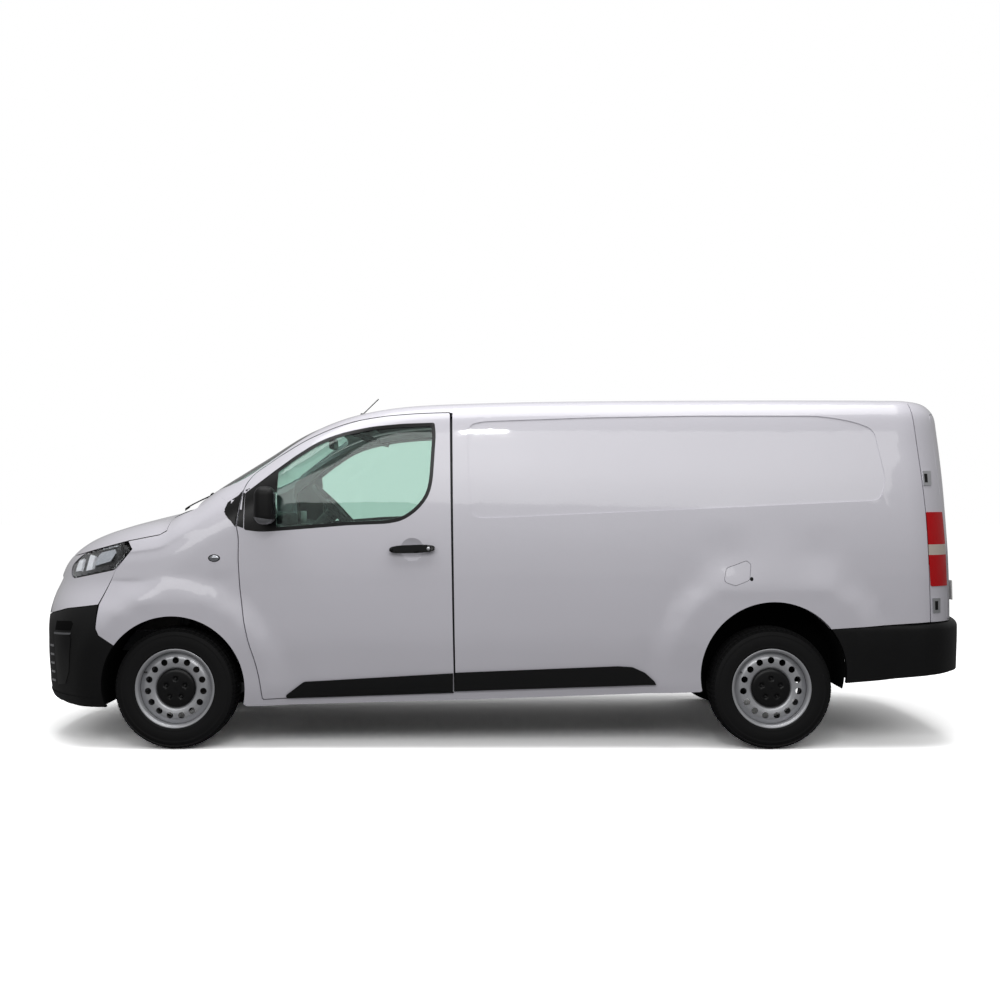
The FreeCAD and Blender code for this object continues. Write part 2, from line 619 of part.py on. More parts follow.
# Cab frame: pillars, cant rails, header, cowl and sills around the door and windscreen openings.
screen_side = ((at(0.022), out(0.40)), (at(0.058), out(0.72)), (at(0.100), out(0.835)),
               (at(0.185), out(0.765)), (at(0.233), out(0.700)), (at(0.243), out(0.40)))
screen_outline = ([(at(0.006), 0)] + [(x, y) for x, y in screen_side] + [(at(0.246), 0)]
                  + [(x, -y) for x, y in screen_side[::-1]])
screen_cut = plan_prism(screen_outline, SWEEP, up(0.5), BODY_HEIGHT * 2)
frame_outline = ((-0.0500, 0.6300), (-0.0300, 0.70), (0.0500, 1.1), (0.4625, 1.1),
                 (0.4709, 0.1402), (0.1223, 0.1231), (0.1180, 0.30), (0.0900, 0.50), (0.0829, 0.60))
frame_field = side_prism(frame_outline, 0, -SIDE_REACH, SIDE_REACH)
fender_shares = ((-0.4650, 0.4076), (-0.3851, 0.5020), (-0.2800, 0.5610), (-0.3252, 0.5822),
                 (-0.1095, 0.6002), (-0.0630, 0.6119), (-0.0630, 0.6460), (0.0206, 0.6701),
                 (0.0444, 0.69), (0.0660, 0.7150), (0.0840, 0.6975), (0.1060, 0.7225),
                 (0.1085, 0.7225), (0.1010, 0.6256), (0.1068, 0.60), (0.1068, 0.5306), (0.1108, 0.4525),
                 (0.1180, 0.3640), (0.1260, 0.2980), (0.1360, 0.2520), (0.1425, 0.2033),
                 (0.1470, 0.1300), (0.1223, 0.1231), (0.0500, 0.20), (-0.30, 0.20),
                 (-0.3490, 0.2940), (-0.4490, 0.3245), (-0.4690, 0.3432))
fender_field = side_prism(fender_shares, 0, -SIDE_REACH, 0)
fender_cut = side_prism(fender_shares, 0, -SIDE_REACH, 0, SEAT_GAP)
sail_cut = side_prism(sail_shares, 0, -SIDE_REACH, 0, SEAT_GAP)
fender = layer(fender_field.cut(front_arch).cut(door_opening).cut(sail_cut), 0, FENDER_SKIN)
frame_zone = frame_field.cut(screen_cut)
fender_zone = fender_cut.cut(body_at(FENDER_SKIN + SEAT_GAP))
pillar_shares = ((0.4500, 0.9474), (0.4720, 0.9474), (0.4800, 0.1624), (0.4600, 0.1624))
pillar_cut = side_prism(pillar_shares, 0, -SIDE_REACH, 0)
for hollow in (door_opening, pillar_cut, fender_zone, sail_cut.cut(body_at(FRAME_STRIP)), front_arch):
    frame_zone = frame_zone.cut(hollow).cut(mirrored(hollow))
roof_hole = box(at(roof_front_share) - SEAT_GAP, at(3), -ROOF_SEAM, ROOF_SEAM, up(0.8),
                BODY_HEIGHT * 2)
cowl_drop = up(0.035)
cowl_zone = box(at(-0.06), at(0.03), -out(0.86), out(0.86), up(0.5), BODY_HEIGHT).cut(
    body_at(cowl_drop))
pillar_shell = layer(frame_zone.cut(roof_hole).cut(cowl_zone), 0, WALL)
parts["cab_frame"] = solids_over(pillar_shell, WALL ** 3)
# The nose: painted front panel, black bumper and grille, headlamps, bonnet and windscreen.
nose_skin = nose_at(0)
nose_inner = nose_at(BUMPER_SKIN)
nose_lining = nose_at(BUMPER_SKIN + SEAT_GAP)
LAMP_DEPTH = 90.0
lamp_shares = ((-0.2877, 0.5623), (-0.3536, 0.5827), (-0.6907, 0.5424), (-0.7906, 0.5031),
               (-0.7543, 0.4688), (-0.391, 0.502))
lamp_radii = [TIGHT, ROUND, SWEEP, ROUND, ROUND, ROUND]
lamp_hole = side_prism(lamp_shares, lamp_radii, -SIDE_REACH, -out(0.36))
lamp_field = side_prism(lamp_shares, lamp_radii, -SIDE_REACH, -out(0.36), -GAP / 2)
lamp_solid = lamp_field.common(nose_at(FINE_STEP)).cut(nose_at(LAMP_DEPTH))
lamp = largest(lamp_solid)
parts["headlamps"] = both(lamp)

bonnet_low_shares = ((-0.0664, 0.6144), (-0.1095, 0.6027), (-0.3252, 0.5848), (-0.6907, 0.5444),
                     (-0.8019, 0.5330), (-1.1, 0.5250))
bonnet_shares = bonnet_low_shares + ((-1.1, 0.8), (-0.0664, 0.8))
bonnet_field = side_prism(bonnet_shares, 0, -SIDE_REACH, SIDE_REACH)
parts["bonnet"] = largest(layer(bonnet_field, 0, BONNET_DEPTH))

bumper_shares = ((-1.1, 0.3616), (-0.9484, 0.3616), (-0.7054, 0.3907), (-0.4760, 0.4050),
                 (-0.4760, 0.3432), (-0.4555, 0.3253), (-0.3556, 0.2967), (-0.25, 0.20),
                 (-0.3922, 0.1267), (-0.416, 0.12), (-0.601, 0.118), (-0.7202, 0.119),
                 (-0.9336, 0.1348), (-1.1, 0.1348))
bumper_field = side_prism(bumper_shares, 0, -SIDE_REACH, SIDE_REACH)
lower_grille = ((-out(0.66), up(0.320)), (out(0.66), up(0.320)), (out(0.56), up(0.215)),
                (-out(0.56), up(0.215)))
grille_hole = rear_prism(lower_grille, ROUND, at(-1.1), at(-0.5))
bumper_body = bumper_field.common(nose_skin).cut(nose_inner).cut(front_arch).cut(
    mirrored(front_arch)).cut(grille_hole)
parts["front_bumper"] = largest(bumper_body)
parts["fenders"] = both(largest(fender.cut(bumper_body)))

panel_front_shares = ((-1.1, 0.3641), (-0.9484, 0.3641), (-0.7054, 0.3932), (-0.4760, 0.4076),
                      (-0.3870, 0.5015), (-0.3000, 0.5590), (-0.3300, 0.5818), (-0.6907, 0.5418),
                      (-0.8019, 0.5304), (-1.1, 0.5224))
panel_field = side_prism(panel_front_shares, 0, -SIDE_REACH, SIDE_REACH)
upper_grille = ((-out(0.46), up(0.470)), (out(0.46), up(0.470)), (out(0.42), up(0.412)),
                (-out(0.42), up(0.412)))
upper_hole = rear_prism(upper_grille, TIGHT, at(-1.1), at(-0.5))
panel = panel_field.common(nose_skin).cut(nose_inner).cut(lamp_hole).cut(
    mirrored(lamp_hole)).cut(upper_hole)
parts["nose_panel"] = largest(panel)

GRILLE_IN = 6.0
GRILLE_BACK = 28.0
SLAT = 9.0
SLAT_COUNT_LOW = 5
SLAT_COUNT_UPPER = 3


def grille_bars(outline, radius, count):
    """Horizontal slats in a frame that fits its opening, all one piece."""
    frame = rear_prism(outline, radius, at(-1.1), at(-0.5), -SEAT_GAP)
    hole = rear_prism(outline, radius, at(-1.1), at(-0.5), -SEAT_GAP - SLAT)
    low, high = outline[2][1], outline[0][1]
    bars = frame.cut(hole)
    for level in spread(low, high, count + 2)[1:-1]:
        bar = box(at(-1.1), at(-0.5), -out(1.0), out(1.0), level - SLAT / 2, level + SLAT / 2)
        bars = bars.fuse(bar.common(frame))
    upright = box(at(-1.1), at(-0.5), -SLAT / 2, SLAT / 2, low, high)
    bars = bars.fuse(upright.common(frame))
    return largest(bars.common(nose_at(GRILLE_IN)).cut(nose_at(GRILLE_BACK)))


parts["grille"] = Part.makeCompound([grille_bars(lower_grille, ROUND, SLAT_COUNT_LOW),
                                     grille_bars(upper_grille, TIGHT, SLAT_COUNT_UPPER)])

screen_pane = plan_prism(screen_outline, SWEEP, up(0.5), BODY_HEIGHT * 2, -SEAT_GAP)
parts["windscreen"] = largest(layer(screen_pane, FINE_STEP, GLASS_IN + FINE_STEP))

# The tail: corner posts with lamps and hinges, two rear doors, and the bumper.
door_edge = ((-out(0.883), up(0.3640)), (-out(0.882), up(0.50)), (-out(0.866), up(0.664)),
             (-out(0.836), up(0.79)), (-out(0.790), up(0.90)), (-out(0.760), up(0.9440)),
             (-GAP / 2, up(0.9500)), (-GAP / 2, up(0.3640)))
rear_radii = [TIGHT, SWEEP, SWEEP, SWEEP, SWEEP, ROUND, 0, 0]
rear_x = at(1.60)
rear_field = rear_prism(door_edge, rear_radii, rear_x, at(2.2))

doorway = ((-out(0.883), up(0.3640)), (-out(0.882), up(0.50)), (-out(0.866), up(0.664)),
           (-out(0.836), up(0.79)), (-out(0.790), up(0.90)), (-out(0.760), up(0.9440)),
           (0, up(0.9500)), (out(0.760), up(0.9440)), (out(0.790), up(0.90)), (out(0.836), up(0.79)),
           (out(0.866), up(0.664)), (out(0.882), up(0.50)), (out(0.883), up(0.3640)))
doorway_radii = [TIGHT] + [SWEEP] * 4 + [ROUND, 0, ROUND] + [SWEEP] * 4 + [TIGHT]

# Each rear door has a thin outer edge round a thicker core, so that it swings clear of the frame.
DOOR_RIM = 25.0
RING_LAP = 30.0
door_core = rear_prism(doorway, doorway_radii, rear_x - OVERRUN, at(2.2), -RING_LAP)
rear_door = rear_field.common(tail_at(0)).cut(tail_at(REAR_DOOR))
rear_door = largest(rear_door.cut(tail_at(DOOR_RIM).cut(door_core)))
parts["rear_door_left"] = rear_door
parts["rear_door_right"] = mirrored(rear_door)
doorway_cut = rear_prism(doorway, doorway_radii, rear_x, at(2.2), GAP)
post_shares = ((1.6770, 1.1), (1.7300, 0.6665), (1.7404, 0.4852), (1.7460, 0.3600), (2.2, 0.3600),
               (2.2, 1.1))
post_field = side_prism(post_shares, 0, -SIDE_REACH, SIDE_REACH).cut(doorway_cut)
tail_lamp_shares = ((1.7250, 0.6660), (1.7440, 0.4590), (2.2, 0.4590), (2.2, 0.6660))
LAMP_SINK = 40.0
tail_lamp_field = side_prism(tail_lamp_shares, TIGHT, -SIDE_REACH, -out(0.5))
lamp_zone = tail_lamp_field.cut(tail_at(LAMP_SINK + SEAT_GAP))
posts = layer(post_field, 0, WALL).cut(lamp_zone).cut(mirrored(lamp_zone))
parts["rear_corners"] = largest(posts)
lamp_body = side_prism(tail_lamp_shares, TIGHT, -SIDE_REACH, -out(0.5), -SEAT_GAP).common(
    tail_at(-FINE_STEP * 8)).cut(tail_at(LAMP_SINK)).cut(doorway_cut).common(post_field)
parts["tail_lamps"] = both(largest(lamp_body))

bumper_low_shares = ((1.2712, 0.3400), (1.7454, 0.3560), (2.2, 0.3560), (2.2, 0.2165),
                     (1.866, 0.2165), (1.631, 0.2038), (1.343, 0.19), (1.343, 0.2300),
                     (1.3340, 0.2600))
rear_bumper_field = side_prism(bumper_low_shares, 0, -SIDE_REACH, SIDE_REACH)
rear_bumper = rear_bumper_field.common(bumper_at(0)).cut(bumper_at(BUMPER_SKIN)).cut(rear_arch).cut(
    mirrored(rear_arch))
load_end_x = at(1.80)
bumper_hollow = box(at(0.9), load_end_x, -out(0.90), out(0.90), up(0.30), up(0.40))
parts["rear_bumper"] = largest(rear_bumper.cut(bumper_hollow))

# Posts behind the door edges. The doors close on them, and they join the side panels.
POST_DEPTH = 88.0
INNER = WALL + SEAT_GAP
pillar_inner_shares = ((0.4480, 0.9560), (0.4810, 0.9560), (0.4880, 0.2900), (0.4520, 0.2900))
pillar_inner = layer(side_prism(pillar_inner_shares, 0, -SIDE_REACH, -out(0.4)), INNER, POST_DEPTH)
parts["door_posts"] = both(largest(pillar_inner))
RING_DEPTH = 84.0
ring_near = rear_prism(doorway, doorway_radii, rear_x, at(2.2), GAP - SEAT_GAP)
ring_start = box(at(1.56), at(1.7500), -SIDE_REACH, SIDE_REACH, 0, BODY_HEIGHT)
ring = ring_near.cut(door_core).common(tail_at(REAR_DOOR + SEAT_GAP)).cut(tail_at(RING_DEPTH))
parts["rear_door_frame"] = solids_over(ring.cut(ring_start), ROUND ** 3)

# Wheelhouses.
LINER_OUT = 402.0
HOUSE_INNER = 629.0
AXLE_PASSAGE = 60.0
rear_lining = bumper_at(BUMPER_SKIN + SEAT_GAP)
HOUSE_WALL = 5.0
FRONT_HOUSE_Y = 665.0
front_z, rear_z = TYRE_RADIUS + FRONT_ARCH_RISE, TYRE_RADIUS + REAR_ARCH_RISE


def arch_rod(x, z, radius, inner):
    return rod(V(x, -SIDE_REACH, z), V(x, -inner, z), radius)


front_shell = arch_rod(FRONT_AXLE_X, front_z, LINER_OUT, FRONT_HOUSE_Y).cut(
    arch_rod(FRONT_AXLE_X, front_z, LINER_OUT - LINER, FRONT_HOUSE_Y - OVERRUN))
above_road = box(NOSE_X, TAIL_X, -SIDE_REACH, 0, LOW_EDGE + ROUND, BODY_HEIGHT)
bumper_room = side_prism(bumper_shares, 0, -SIDE_REACH, 0, SEAT_GAP).cut(nose_lining)
frame_room = side_prism(frame_outline, 0, -SIDE_REACH, 0, SEAT_GAP).cut(body_at(INNER))
front_liner = front_shell.common(above_road).common(body_at(FENDER_SKIN + SEAT_GAP))
front_liner = largest(front_liner.cut(bumper_room).cut(frame_room))
rear_house = arch_rod(REAR_AXLE_X, rear_z, LINER_OUT, HOUSE_INNER)
rear_shell = rear_house.cut(arch_rod(REAR_AXLE_X, rear_z, LINER_OUT - LINER,
                                     HOUSE_INNER + HOUSE_WALL))
rear_top = box(at(0.8), at(1.6), -SIDE_REACH, 0, up(0.17), BODY_HEIGHT)
axle_passage = rod(V(REAR_AXLE_X, -HOUSE_INNER - ROUND, TYRE_RADIUS),
                   V(REAR_AXLE_X, -HOUSE_INNER + ROUND, TYRE_RADIUS), AXLE_PASSAGE)
rear_bumper_room = side_prism(bumper_low_shares, 0, -SIDE_REACH, 0, SEAT_GAP).cut(rear_lining)
rear_liner = rear_shell.common(rear_top).common(body_at(INNER)).cut(axle_passage)
rear_liner = largest(rear_liner.cut(rear_bumper_room))
parts["arch_liners"] = Part.makeCompound([front_liner, mirrored(front_liner), rear_liner,
                                          mirrored(rear_liner)])

# Floor, firewall and chassis legs.
CAB_FLOOR_Z = 440.0
LOAD_FLOOR_Z = 585.0
FLOOR = 25.0
MAT = 2.0
MAT_HALF = 600.0
LEG_Y = 440.0
LEG_WIDTH = 64.0
LEG_HEIGHT = 110.0
FRONT_LEG_Z = 500.0
SHEET = 15.0
firewall_x = at(0.055)
firewall_top = up(0.62)
step_x = at(0.493)
leg_front_x = at(-0.70)
cab_floor = box(firewall_x, step_x + FLOOR, -SIDE_REACH, SIDE_REACH, CAB_FLOOR_Z, CAB_FLOOR_Z + FLOOR)
riser = box(step_x, step_x + FLOOR, -SIDE_REACH, SIDE_REACH, CAB_FLOOR_Z, LOAD_FLOOR_Z)
load_floor = box(step_x, load_end_x, -SIDE_REACH, SIDE_REACH, LOAD_FLOOR_Z - FLOOR, LOAD_FLOOR_Z)
firewall = box(firewall_x - SHEET, firewall_x, -SIDE_REACH, SIDE_REACH, CAB_FLOOR_Z, firewall_top)
mat = box(at(0.52), at(1.79), -MAT_HALF, MAT_HALF, LOAD_FLOOR_Z - FLOOR, LOAD_FLOOR_Z + MAT)
pan = cab_floor.fuse([riser, load_floor, firewall, mat]).common(body_at(INNER))
front_room = arch_rod(FRONT_AXLE_X, front_z, LINER_OUT + SEAT_GAP, out(0.50))
rear_room = arch_rod(REAR_AXLE_X, rear_z, LINER_OUT + SEAT_GAP, HOUSE_INNER - SEAT_GAP)
post_room = side_prism(pillar_inner_shares, 0, -SIDE_REACH, 0, SEAT_GAP).cut(
    body_at(POST_DEPTH + SEAT_GAP))
for room in (front_room, rear_room, post_room):
    pan = pan.cut(room).cut(mirrored(room))


def leg(x0, x1, z):
    return box(x0, x1, LEG_Y, LEG_Y + LEG_WIDTH, z, z + LEG_HEIGHT)


front_leg = leg(leg_front_x, firewall_x, FRONT_LEG_Z)
middle_leg = leg(firewall_x - SHEET, step_x + FLOOR, CAB_FLOOR_Z - LEG_HEIGHT)
drop = box(firewall_x - SHEET, firewall_x, LEG_Y, LEG_Y + LEG_WIDTH, CAB_FLOOR_Z - LEG_HEIGHT,
           FRONT_LEG_Z + LEG_HEIGHT)
rear_leg = leg(step_x, load_end_x, LOAD_FLOOR_Z - FLOOR - LEG_HEIGHT)
legs = front_leg.fuse([middle_leg, drop, rear_leg])
TOWER_Y = 505.0
TOWER_TOP = 850.0
TOWER_HALF = 80.0
STRUT_Y = 628.0
tower_roof = box(FRONT_AXLE_X - TOWER_HALF, FRONT_AXLE_X + TOWER_HALF, LEG_Y + SHEET,
                 STRUT_Y + ROUND, TOWER_TOP, TOWER_TOP + SHEET)
tower_wall = box(FRONT_AXLE_X - TOWER_HALF, FRONT_AXLE_X + TOWER_HALF, LEG_Y + SHEET,
                 LEG_Y + SHEET * 2, FRONT_LEG_Z, TOWER_TOP + SHEET)
legs = legs.fuse([tower_roof, tower_wall])
parts["floor_pan"] = largest(pan.fuse([legs, mirrored(legs)]))

# Crash beams, the upper front carrier with its lamp and bonnet rests, and the rear beam.
BEAM_HALF = 560.0
beam_z0, beam_z1 = FRONT_LEG_Z, FRONT_LEG_Z + LEG_HEIGHT
front_beam = box(NOSE_X, leg_front_x - SEAT_GAP, -BEAM_HALF, BEAM_HALF, beam_z0, beam_z1).common(
    nose_lining).cut(nose_at(BUMPER_SKIN * 3))
carrier_z0, carrier_z1 = up(0.458), up(0.475)
carrier = box(NOSE_X, at(-0.78), -BEAM_HALF, BEAM_HALF, carrier_z0, carrier_z1).common(nose_lining)
uprights = []
for y in (-LEG_Y - LEG_WIDTH, LEG_Y):
    post = box(at(-0.85), at(-0.78), y, y + LEG_WIDTH, beam_z0, carrier_z1)
    foot = box(at(-0.90), leg_front_x - SEAT_GAP, y, y + LEG_WIDTH, beam_z0, beam_z1)
    uprights.append(post.fuse(foot).common(nose_lining))
LAMP_REST = 105.0
lamp_rest = side_prism(lamp_shares, lamp_radii, -SIDE_REACH, -out(0.40), -TIGHT).common(
    nose_at(LAMP_DEPTH + SEAT_GAP)).cut(nose_at(LAMP_REST))
lamp_rest = largest(lamp_rest)
shelf = box(at(-0.80), at(-0.40), -out(0.66), -out(0.45), carrier_z0, carrier_z1).common(
    nose_at(LAMP_REST - SEAT_GAP))
rest = lamp_rest.fuse(shelf)
bonnet_rest = box(at(-0.86), at(-0.80), -ROUND, ROUND, carrier_z0, BODY_HEIGHT).common(
    body_at(BONNET_DEPTH + SEAT_GAP)).common(nose_lining)
front_carrier = front_beam.fuse(uprights + [carrier, rest, mirrored(rest), bonnet_rest])
parts["front_carrier"] = largest(front_carrier)
rear_beam = box(load_end_x + SEAT_GAP, TAIL_X, -BEAM_HALF, BEAM_HALF, LOAD_FLOOR_Z - FLOOR - LEG_HEIGHT,
                LOAD_FLOOR_Z - FLOOR).common(rear_lining)
sill_plate = box(load_end_x + SEAT_GAP, TAIL_X, -out(0.80), out(0.80), LOAD_FLOOR_Z - FLOOR, up(0.3500))
sill_plate = sill_plate.common(rear_lining)
TOW_X, TOW_Y = 60.0, 120.0
TOW_HOLE = 6.5
TOW_DEPTH = 40.0
TOW_AT_X = 2500.0
tow_centre = V(TOW_AT_X, 0, LOAD_FLOOR_Z - FLOOR - LEG_HEIGHT)
rear_beam = rear_beam.fuse(sill_plate)
for side_x in (-1, 1):
    for side_y in (-1, 1):
        foot = tow_centre + V(side_x * TOW_X / 2, side_y * TOW_Y / 2, -TOW_DEPTH)
        rear_beam = rear_beam.cut(rod(foot, foot + UP * TOW_DEPTH * 2, TOW_HOLE))
parts["rear_beam"] = largest(rear_beam)

# Bulkhead, dashboard with its steering column, and steering wheel.
BULKHEAD_X = at(0.4940)
bulkhead = box(BULKHEAD_X, BULKHEAD_X + FLOOR, -SIDE_REACH, SIDE_REACH, LOAD_FLOOR_Z + SEAT_GAP,
               BODY_HEIGHT * 2).common(body_at(INNER))
parts["bulkhead"] = largest(bulkhead)
DASH_DEPTH = 78.0
dash_points = ((at(0.0150), up(0.645)), (at(0.0500), up(0.652)), (at(0.1750), up(0.625)),
               (at(0.2000), up(0.590)), (at(0.2030), up(0.540)), (at(0.1850), up(0.460)),
               (at(0.1450), up(0.385)), (firewall_x + SEAT_GAP, up(0.385)),
               (firewall_x + SEAT_GAP, firewall_top + SEAT_GAP), (at(0.0150), firewall_top + SEAT_GAP))
dash_radii = [0, SWEEP, ROUND, ROUND, ROUND, SWEEP, ROUND, 0, 0, TIGHT]
dash = outline_prism(dash_points, dash_radii, 0.0, lambda p: V(p.x, -SIDE_REACH, p.y),
                     V(0, SIDE_REACH * 2, 0)).common(body_at(DASH_DEPTH))
STEER_Y = -400.0
STEER_RADIUS = 185.0
STEER_GRIP = 14.0
steer_centre = V(at(0.2518), STEER_Y, up(0.671))
steer_axis = V(0.72, 0, 0.695)
steer_axis.normalize()
HUB_FACE = 30.0
HUB_END = 60.0
COLUMN_START = 65.0
COLUMN_END = 330.0
SHAFT_END = 120.0
SHAFT_RADIUS = 12.0
COLUMN_RADIUS = 40.0


def along_column(distance):
    return steer_centre - steer_axis * distance


column = rod(along_column(COLUMN_START), along_column(COLUMN_END), COLUMN_RADIUS).cut(
    rod(along_column(0), along_column(SHAFT_END + GAP), SHAFT_RADIUS + FINE_STEP))
parts["dashboard"] = largest(dash.fuse(column))
grip = Part.makeTorus(STEER_RADIUS, STEER_GRIP, steer_centre, steer_axis)
hub = rod(along_column(-HUB_FACE / 2), along_column(HUB_END), COLUMN_RADIUS)
shaft = rod(along_column(0), along_column(SHAFT_END), SHAFT_RADIUS)
pad = rod(along_column(-HUB_FACE / 2), along_column(HUB_FACE), COLUMN_RADIUS * 1.8)
spokes = []
for turn in (0, 180, 270):
    ray = FreeCAD.Rotation(steer_axis, turn).multVec(ACROSS)
    spokes.append(rod(steer_centre, steer_centre + ray * STEER_RADIUS, STEER_GRIP * 0.8))
parts["steering_wheel"] = grip.fuse([hub, shaft, pad] + spokes)

# Seats: one for the driver and a bench for two.
SEAT_TOP_Z = up(0.418)
SEAT_LOW_Z = up(0.345)
SEAT_FRONT_X = at(0.268)
SEAT_REAR_X = at(0.4200)
SEAT_ROUND = 38.0
HEAD_HALF = 125.0
DRIVER_SPAN = (-650.0, -150.0)
BENCH_SPAN = (-60.0, 650.0)
DRIVER_HEADS = (-400.0,)
BENCH_HEADS = (125.0, 480.0)
back_points = ((at(0.405), SEAT_LOW_Z + ROUND), (at(0.4400), SEAT_LOW_Z + ROUND),
               (at(0.4800), up(0.690)), (at(0.4480), up(0.690)))
head_points = ((at(0.4540), up(0.700)), (at(0.4800), up(0.700)), (at(0.4840), up(0.780)),
               (at(0.4590), up(0.780)))


def seat(y0, y1, heads):
    cushion = box(SEAT_FRONT_X, SEAT_REAR_X, y0, y1, SEAT_LOW_Z, SEAT_TOP_Z)
    cushion = cushion.makeFillet(SEAT_ROUND, cushion.Edges)
    back = outline_prism(back_points, 0, 0.0, lambda p: V(p.x, y0, p.y), V(0, y1 - y0, 0))
    back = back.makeFillet(SEAT_ROUND, back.Edges)
    whole = cushion.fuse(back)
    for y in heads:
        head = outline_prism(head_points, 0, 0.0, lambda p: V(p.x, y - HEAD_HALF, p.y),
                             V(0, HEAD_HALF * 2, 0))
        head = head.makeFillet(SEAT_ROUND, head.Edges)
        stem = rod(V(at(0.4690), y, up(0.60)), V(at(0.4690), y, up(0.74)), SHAFT_RADIUS)
        whole = whole.fuse([head, stem])
    return largest(whole)


driver = seat(*DRIVER_SPAN, DRIVER_HEADS)
bench = seat(*BENCH_SPAN, BENCH_HEADS)
parts["seats"] = Part.makeCompound([driver, bench])
SEAT_BASE_IN = 60.0
bases = []
for y0, y1 in (DRIVER_SPAN, BENCH_SPAN):
    bases.append(box(SEAT_FRONT_X + SEAT_BASE_IN, SEAT_REAR_X, y0 + SEAT_BASE_IN, y1 - SEAT_BASE_IN,
                     CAB_FLOOR_Z + FLOOR + SEAT_GAP, SEAT_LOW_Z - SEAT_GAP))
parts["seat_bases"] = Part.makeCompound(bases)

# Black trim on the fixed sides: lower mouldings and the corner covers ahead of the doors.
door_gap = sliding_opening.cut(sliding_field)
sail_field = side_prism(sail_shares, 0, -SIDE_REACH, -out(0.5), -SEAT_GAP)
sail = largest(layer(sail_field, FINE_STEP, FRAME_STRIP - SEAT_GAP))
right_moulding = solids_over(side_moulding.cut(door_gap), ROUND ** 3)
parts["side_mouldings"] = Part.makeCompound([side_moulding, sail, mirrored(sail)]
                                            + mirrored(right_moulding).Solids)

# Wipers on the windscreen and the antenna on the roof.
BLADE_HALF = 6.0
BLADE_TOP = 10.0
ARM_HALF_WIDTH = 8.0
ARM_LOW = 6.0
ARM_TOP = 14.0
PIVOT_RADIUS = 14.0


def strip(start, end, half):
    """The plan outline of a straight strip from one point to another."""
    run = V(end[0] - start[0], end[1] - start[1], 0)
    run.normalize()
    aside = V(-run.y * half, run.x * half, 0)
    return [(start[0] + aside.x, start[1] + aside.y), (end[0] + aside.x, end[1] + aside.y),
            (end[0] - aside.x, end[1] - aside.y), (start[0] - aside.x, start[1] - aside.y)]


def on_glass(outline, outer, inner):
    return layer(plan_prism(outline, 0, up(0.55), BODY_HEIGHT), -outer, -inner)


def on_skin(x, y, lift):
    return leave(body_depth, -lift, V(x, y, up(0.6)), UP)


wipers = []
for pivot_share, knee_share, tip_share in (((-0.012, -0.60), (0.026, -0.34), (0.010, -0.03)),
                                           ((-0.014, 0.10), (0.022, 0.34), (0.030, 0.66))):
    pivot, knee, tip = [(at(x), out(y)) for x, y in (pivot_share, knee_share, tip_share)]
    tail = (2 * knee[0] - tip[0], 2 * knee[1] - tip[1])
    blade = on_glass(strip(tail, tip, BLADE_HALF), BLADE_TOP, SEAT_GAP)
    wiper_arm = on_glass(strip(pivot, knee, ARM_HALF_WIDTH), ARM_TOP, ARM_LOW)
    peg = rod(V(pivot[0], pivot[1], up(0.55)), V(pivot[0], pivot[1], BODY_HEIGHT), PIVOT_RADIUS)
    peg = layer(peg, -ARM_TOP, -SEAT_GAP)
    wipers.append(largest(blade.fuse([wiper_arm, peg])))
parts["wipers"] = Part.makeCompound(wipers)
ANTENNA_FOOT = 18.0
ANTENNA_NECK = 6.0
ANTENNA_ROD = 3.0
ANTENNA_BASE = 32.0
antenna_x = at(0.2850)
antenna_foot = on_skin(antenna_x, 0, SEAT_GAP)
roof_run = on_skin(antenna_x + ROUND, 0, SEAT_GAP) - on_skin(antenna_x - ROUND, 0, SEAT_GAP)
roof_normal = roof_run.cross(ACROSS)
roof_normal.normalize()
whip_start = antenna_foot + roof_normal * (ANTENNA_BASE - TIGHT)
whip_end = V(at(0.3150), 0, up(1.019))
foot_cone = Part.makeCone(ANTENNA_FOOT, ANTENNA_NECK, ANTENNA_BASE, antenna_foot, roof_normal)
parts["antenna"] = foot_cone.fuse(rod(whip_start, whip_end, ANTENNA_ROD))

# Engine with its gearbox, one plain block, and the parts below the floor.
ENGINE_HALF = 330.0
ENGINE_LOW_Z = 430.0
ENGINE_TOP_Z = 960.0
GEARBOX_LEFT_Y = -250.0
GEARBOX_RIGHT_Y = 300.0
GEARBOX_LOW_Z = 290.0
GEARBOX_TOP_Z = ENGINE_LOW_Z + 10.0
engine = box(at(-0.42), at(0.03), -ENGINE_HALF, ENGINE_HALF, ENGINE_LOW_Z, ENGINE_TOP_Z)
gearbox = box(at(-0.10), at(0.05), GEARBOX_LEFT_Y, GEARBOX_RIGHT_Y, GEARBOX_LOW_Z, GEARBOX_TOP_Z)
parts["engine_block"] = engine.fuse(gearbox).removeSplitter()
TANK_ROUND = 40.0
TANK_LEFT_Y = -420.0
TANK_RIGHT_Y = -60.0
TANK_LOW_Z = 250.0
tank = box(at(0.34), at(0.49), TANK_LEFT_Y, TANK_RIGHT_Y, TANK_LOW_Z, CAB_FLOOR_Z - SEAT_GAP)
parts["fuel_tank"] = tank.makeFillet(TANK_ROUND, [e for e in tank.Edges if abs(
    e.tangentAt(0).z) > 0.9])
PIPE = 28.0
MUFFLER = 85.0
PIPE_Y = 180.0
PIPE_Z = 330.0
PIPE_RISE = 60.0
PIPE_DROP = 40.0
pipe_points = (V(at(0.05) + PIPE + SEAT_GAP, PIPE_Y, PIPE_Z + PIPE_RISE), V(at(0.11), PIPE_Y, PIPE_Z),
               V(at(0.86), PIPE_Y, PIPE_Z), V(at(0.875), PIPE_Y, PIPE_Z - PIPE_DROP))
pipe = [Part.makeSphere(PIPE, p) for p in pipe_points]
pipe += [rod(pipe_points[i], pipe_points[i + 1], PIPE) for i in range(len(pipe_points) - 1)]
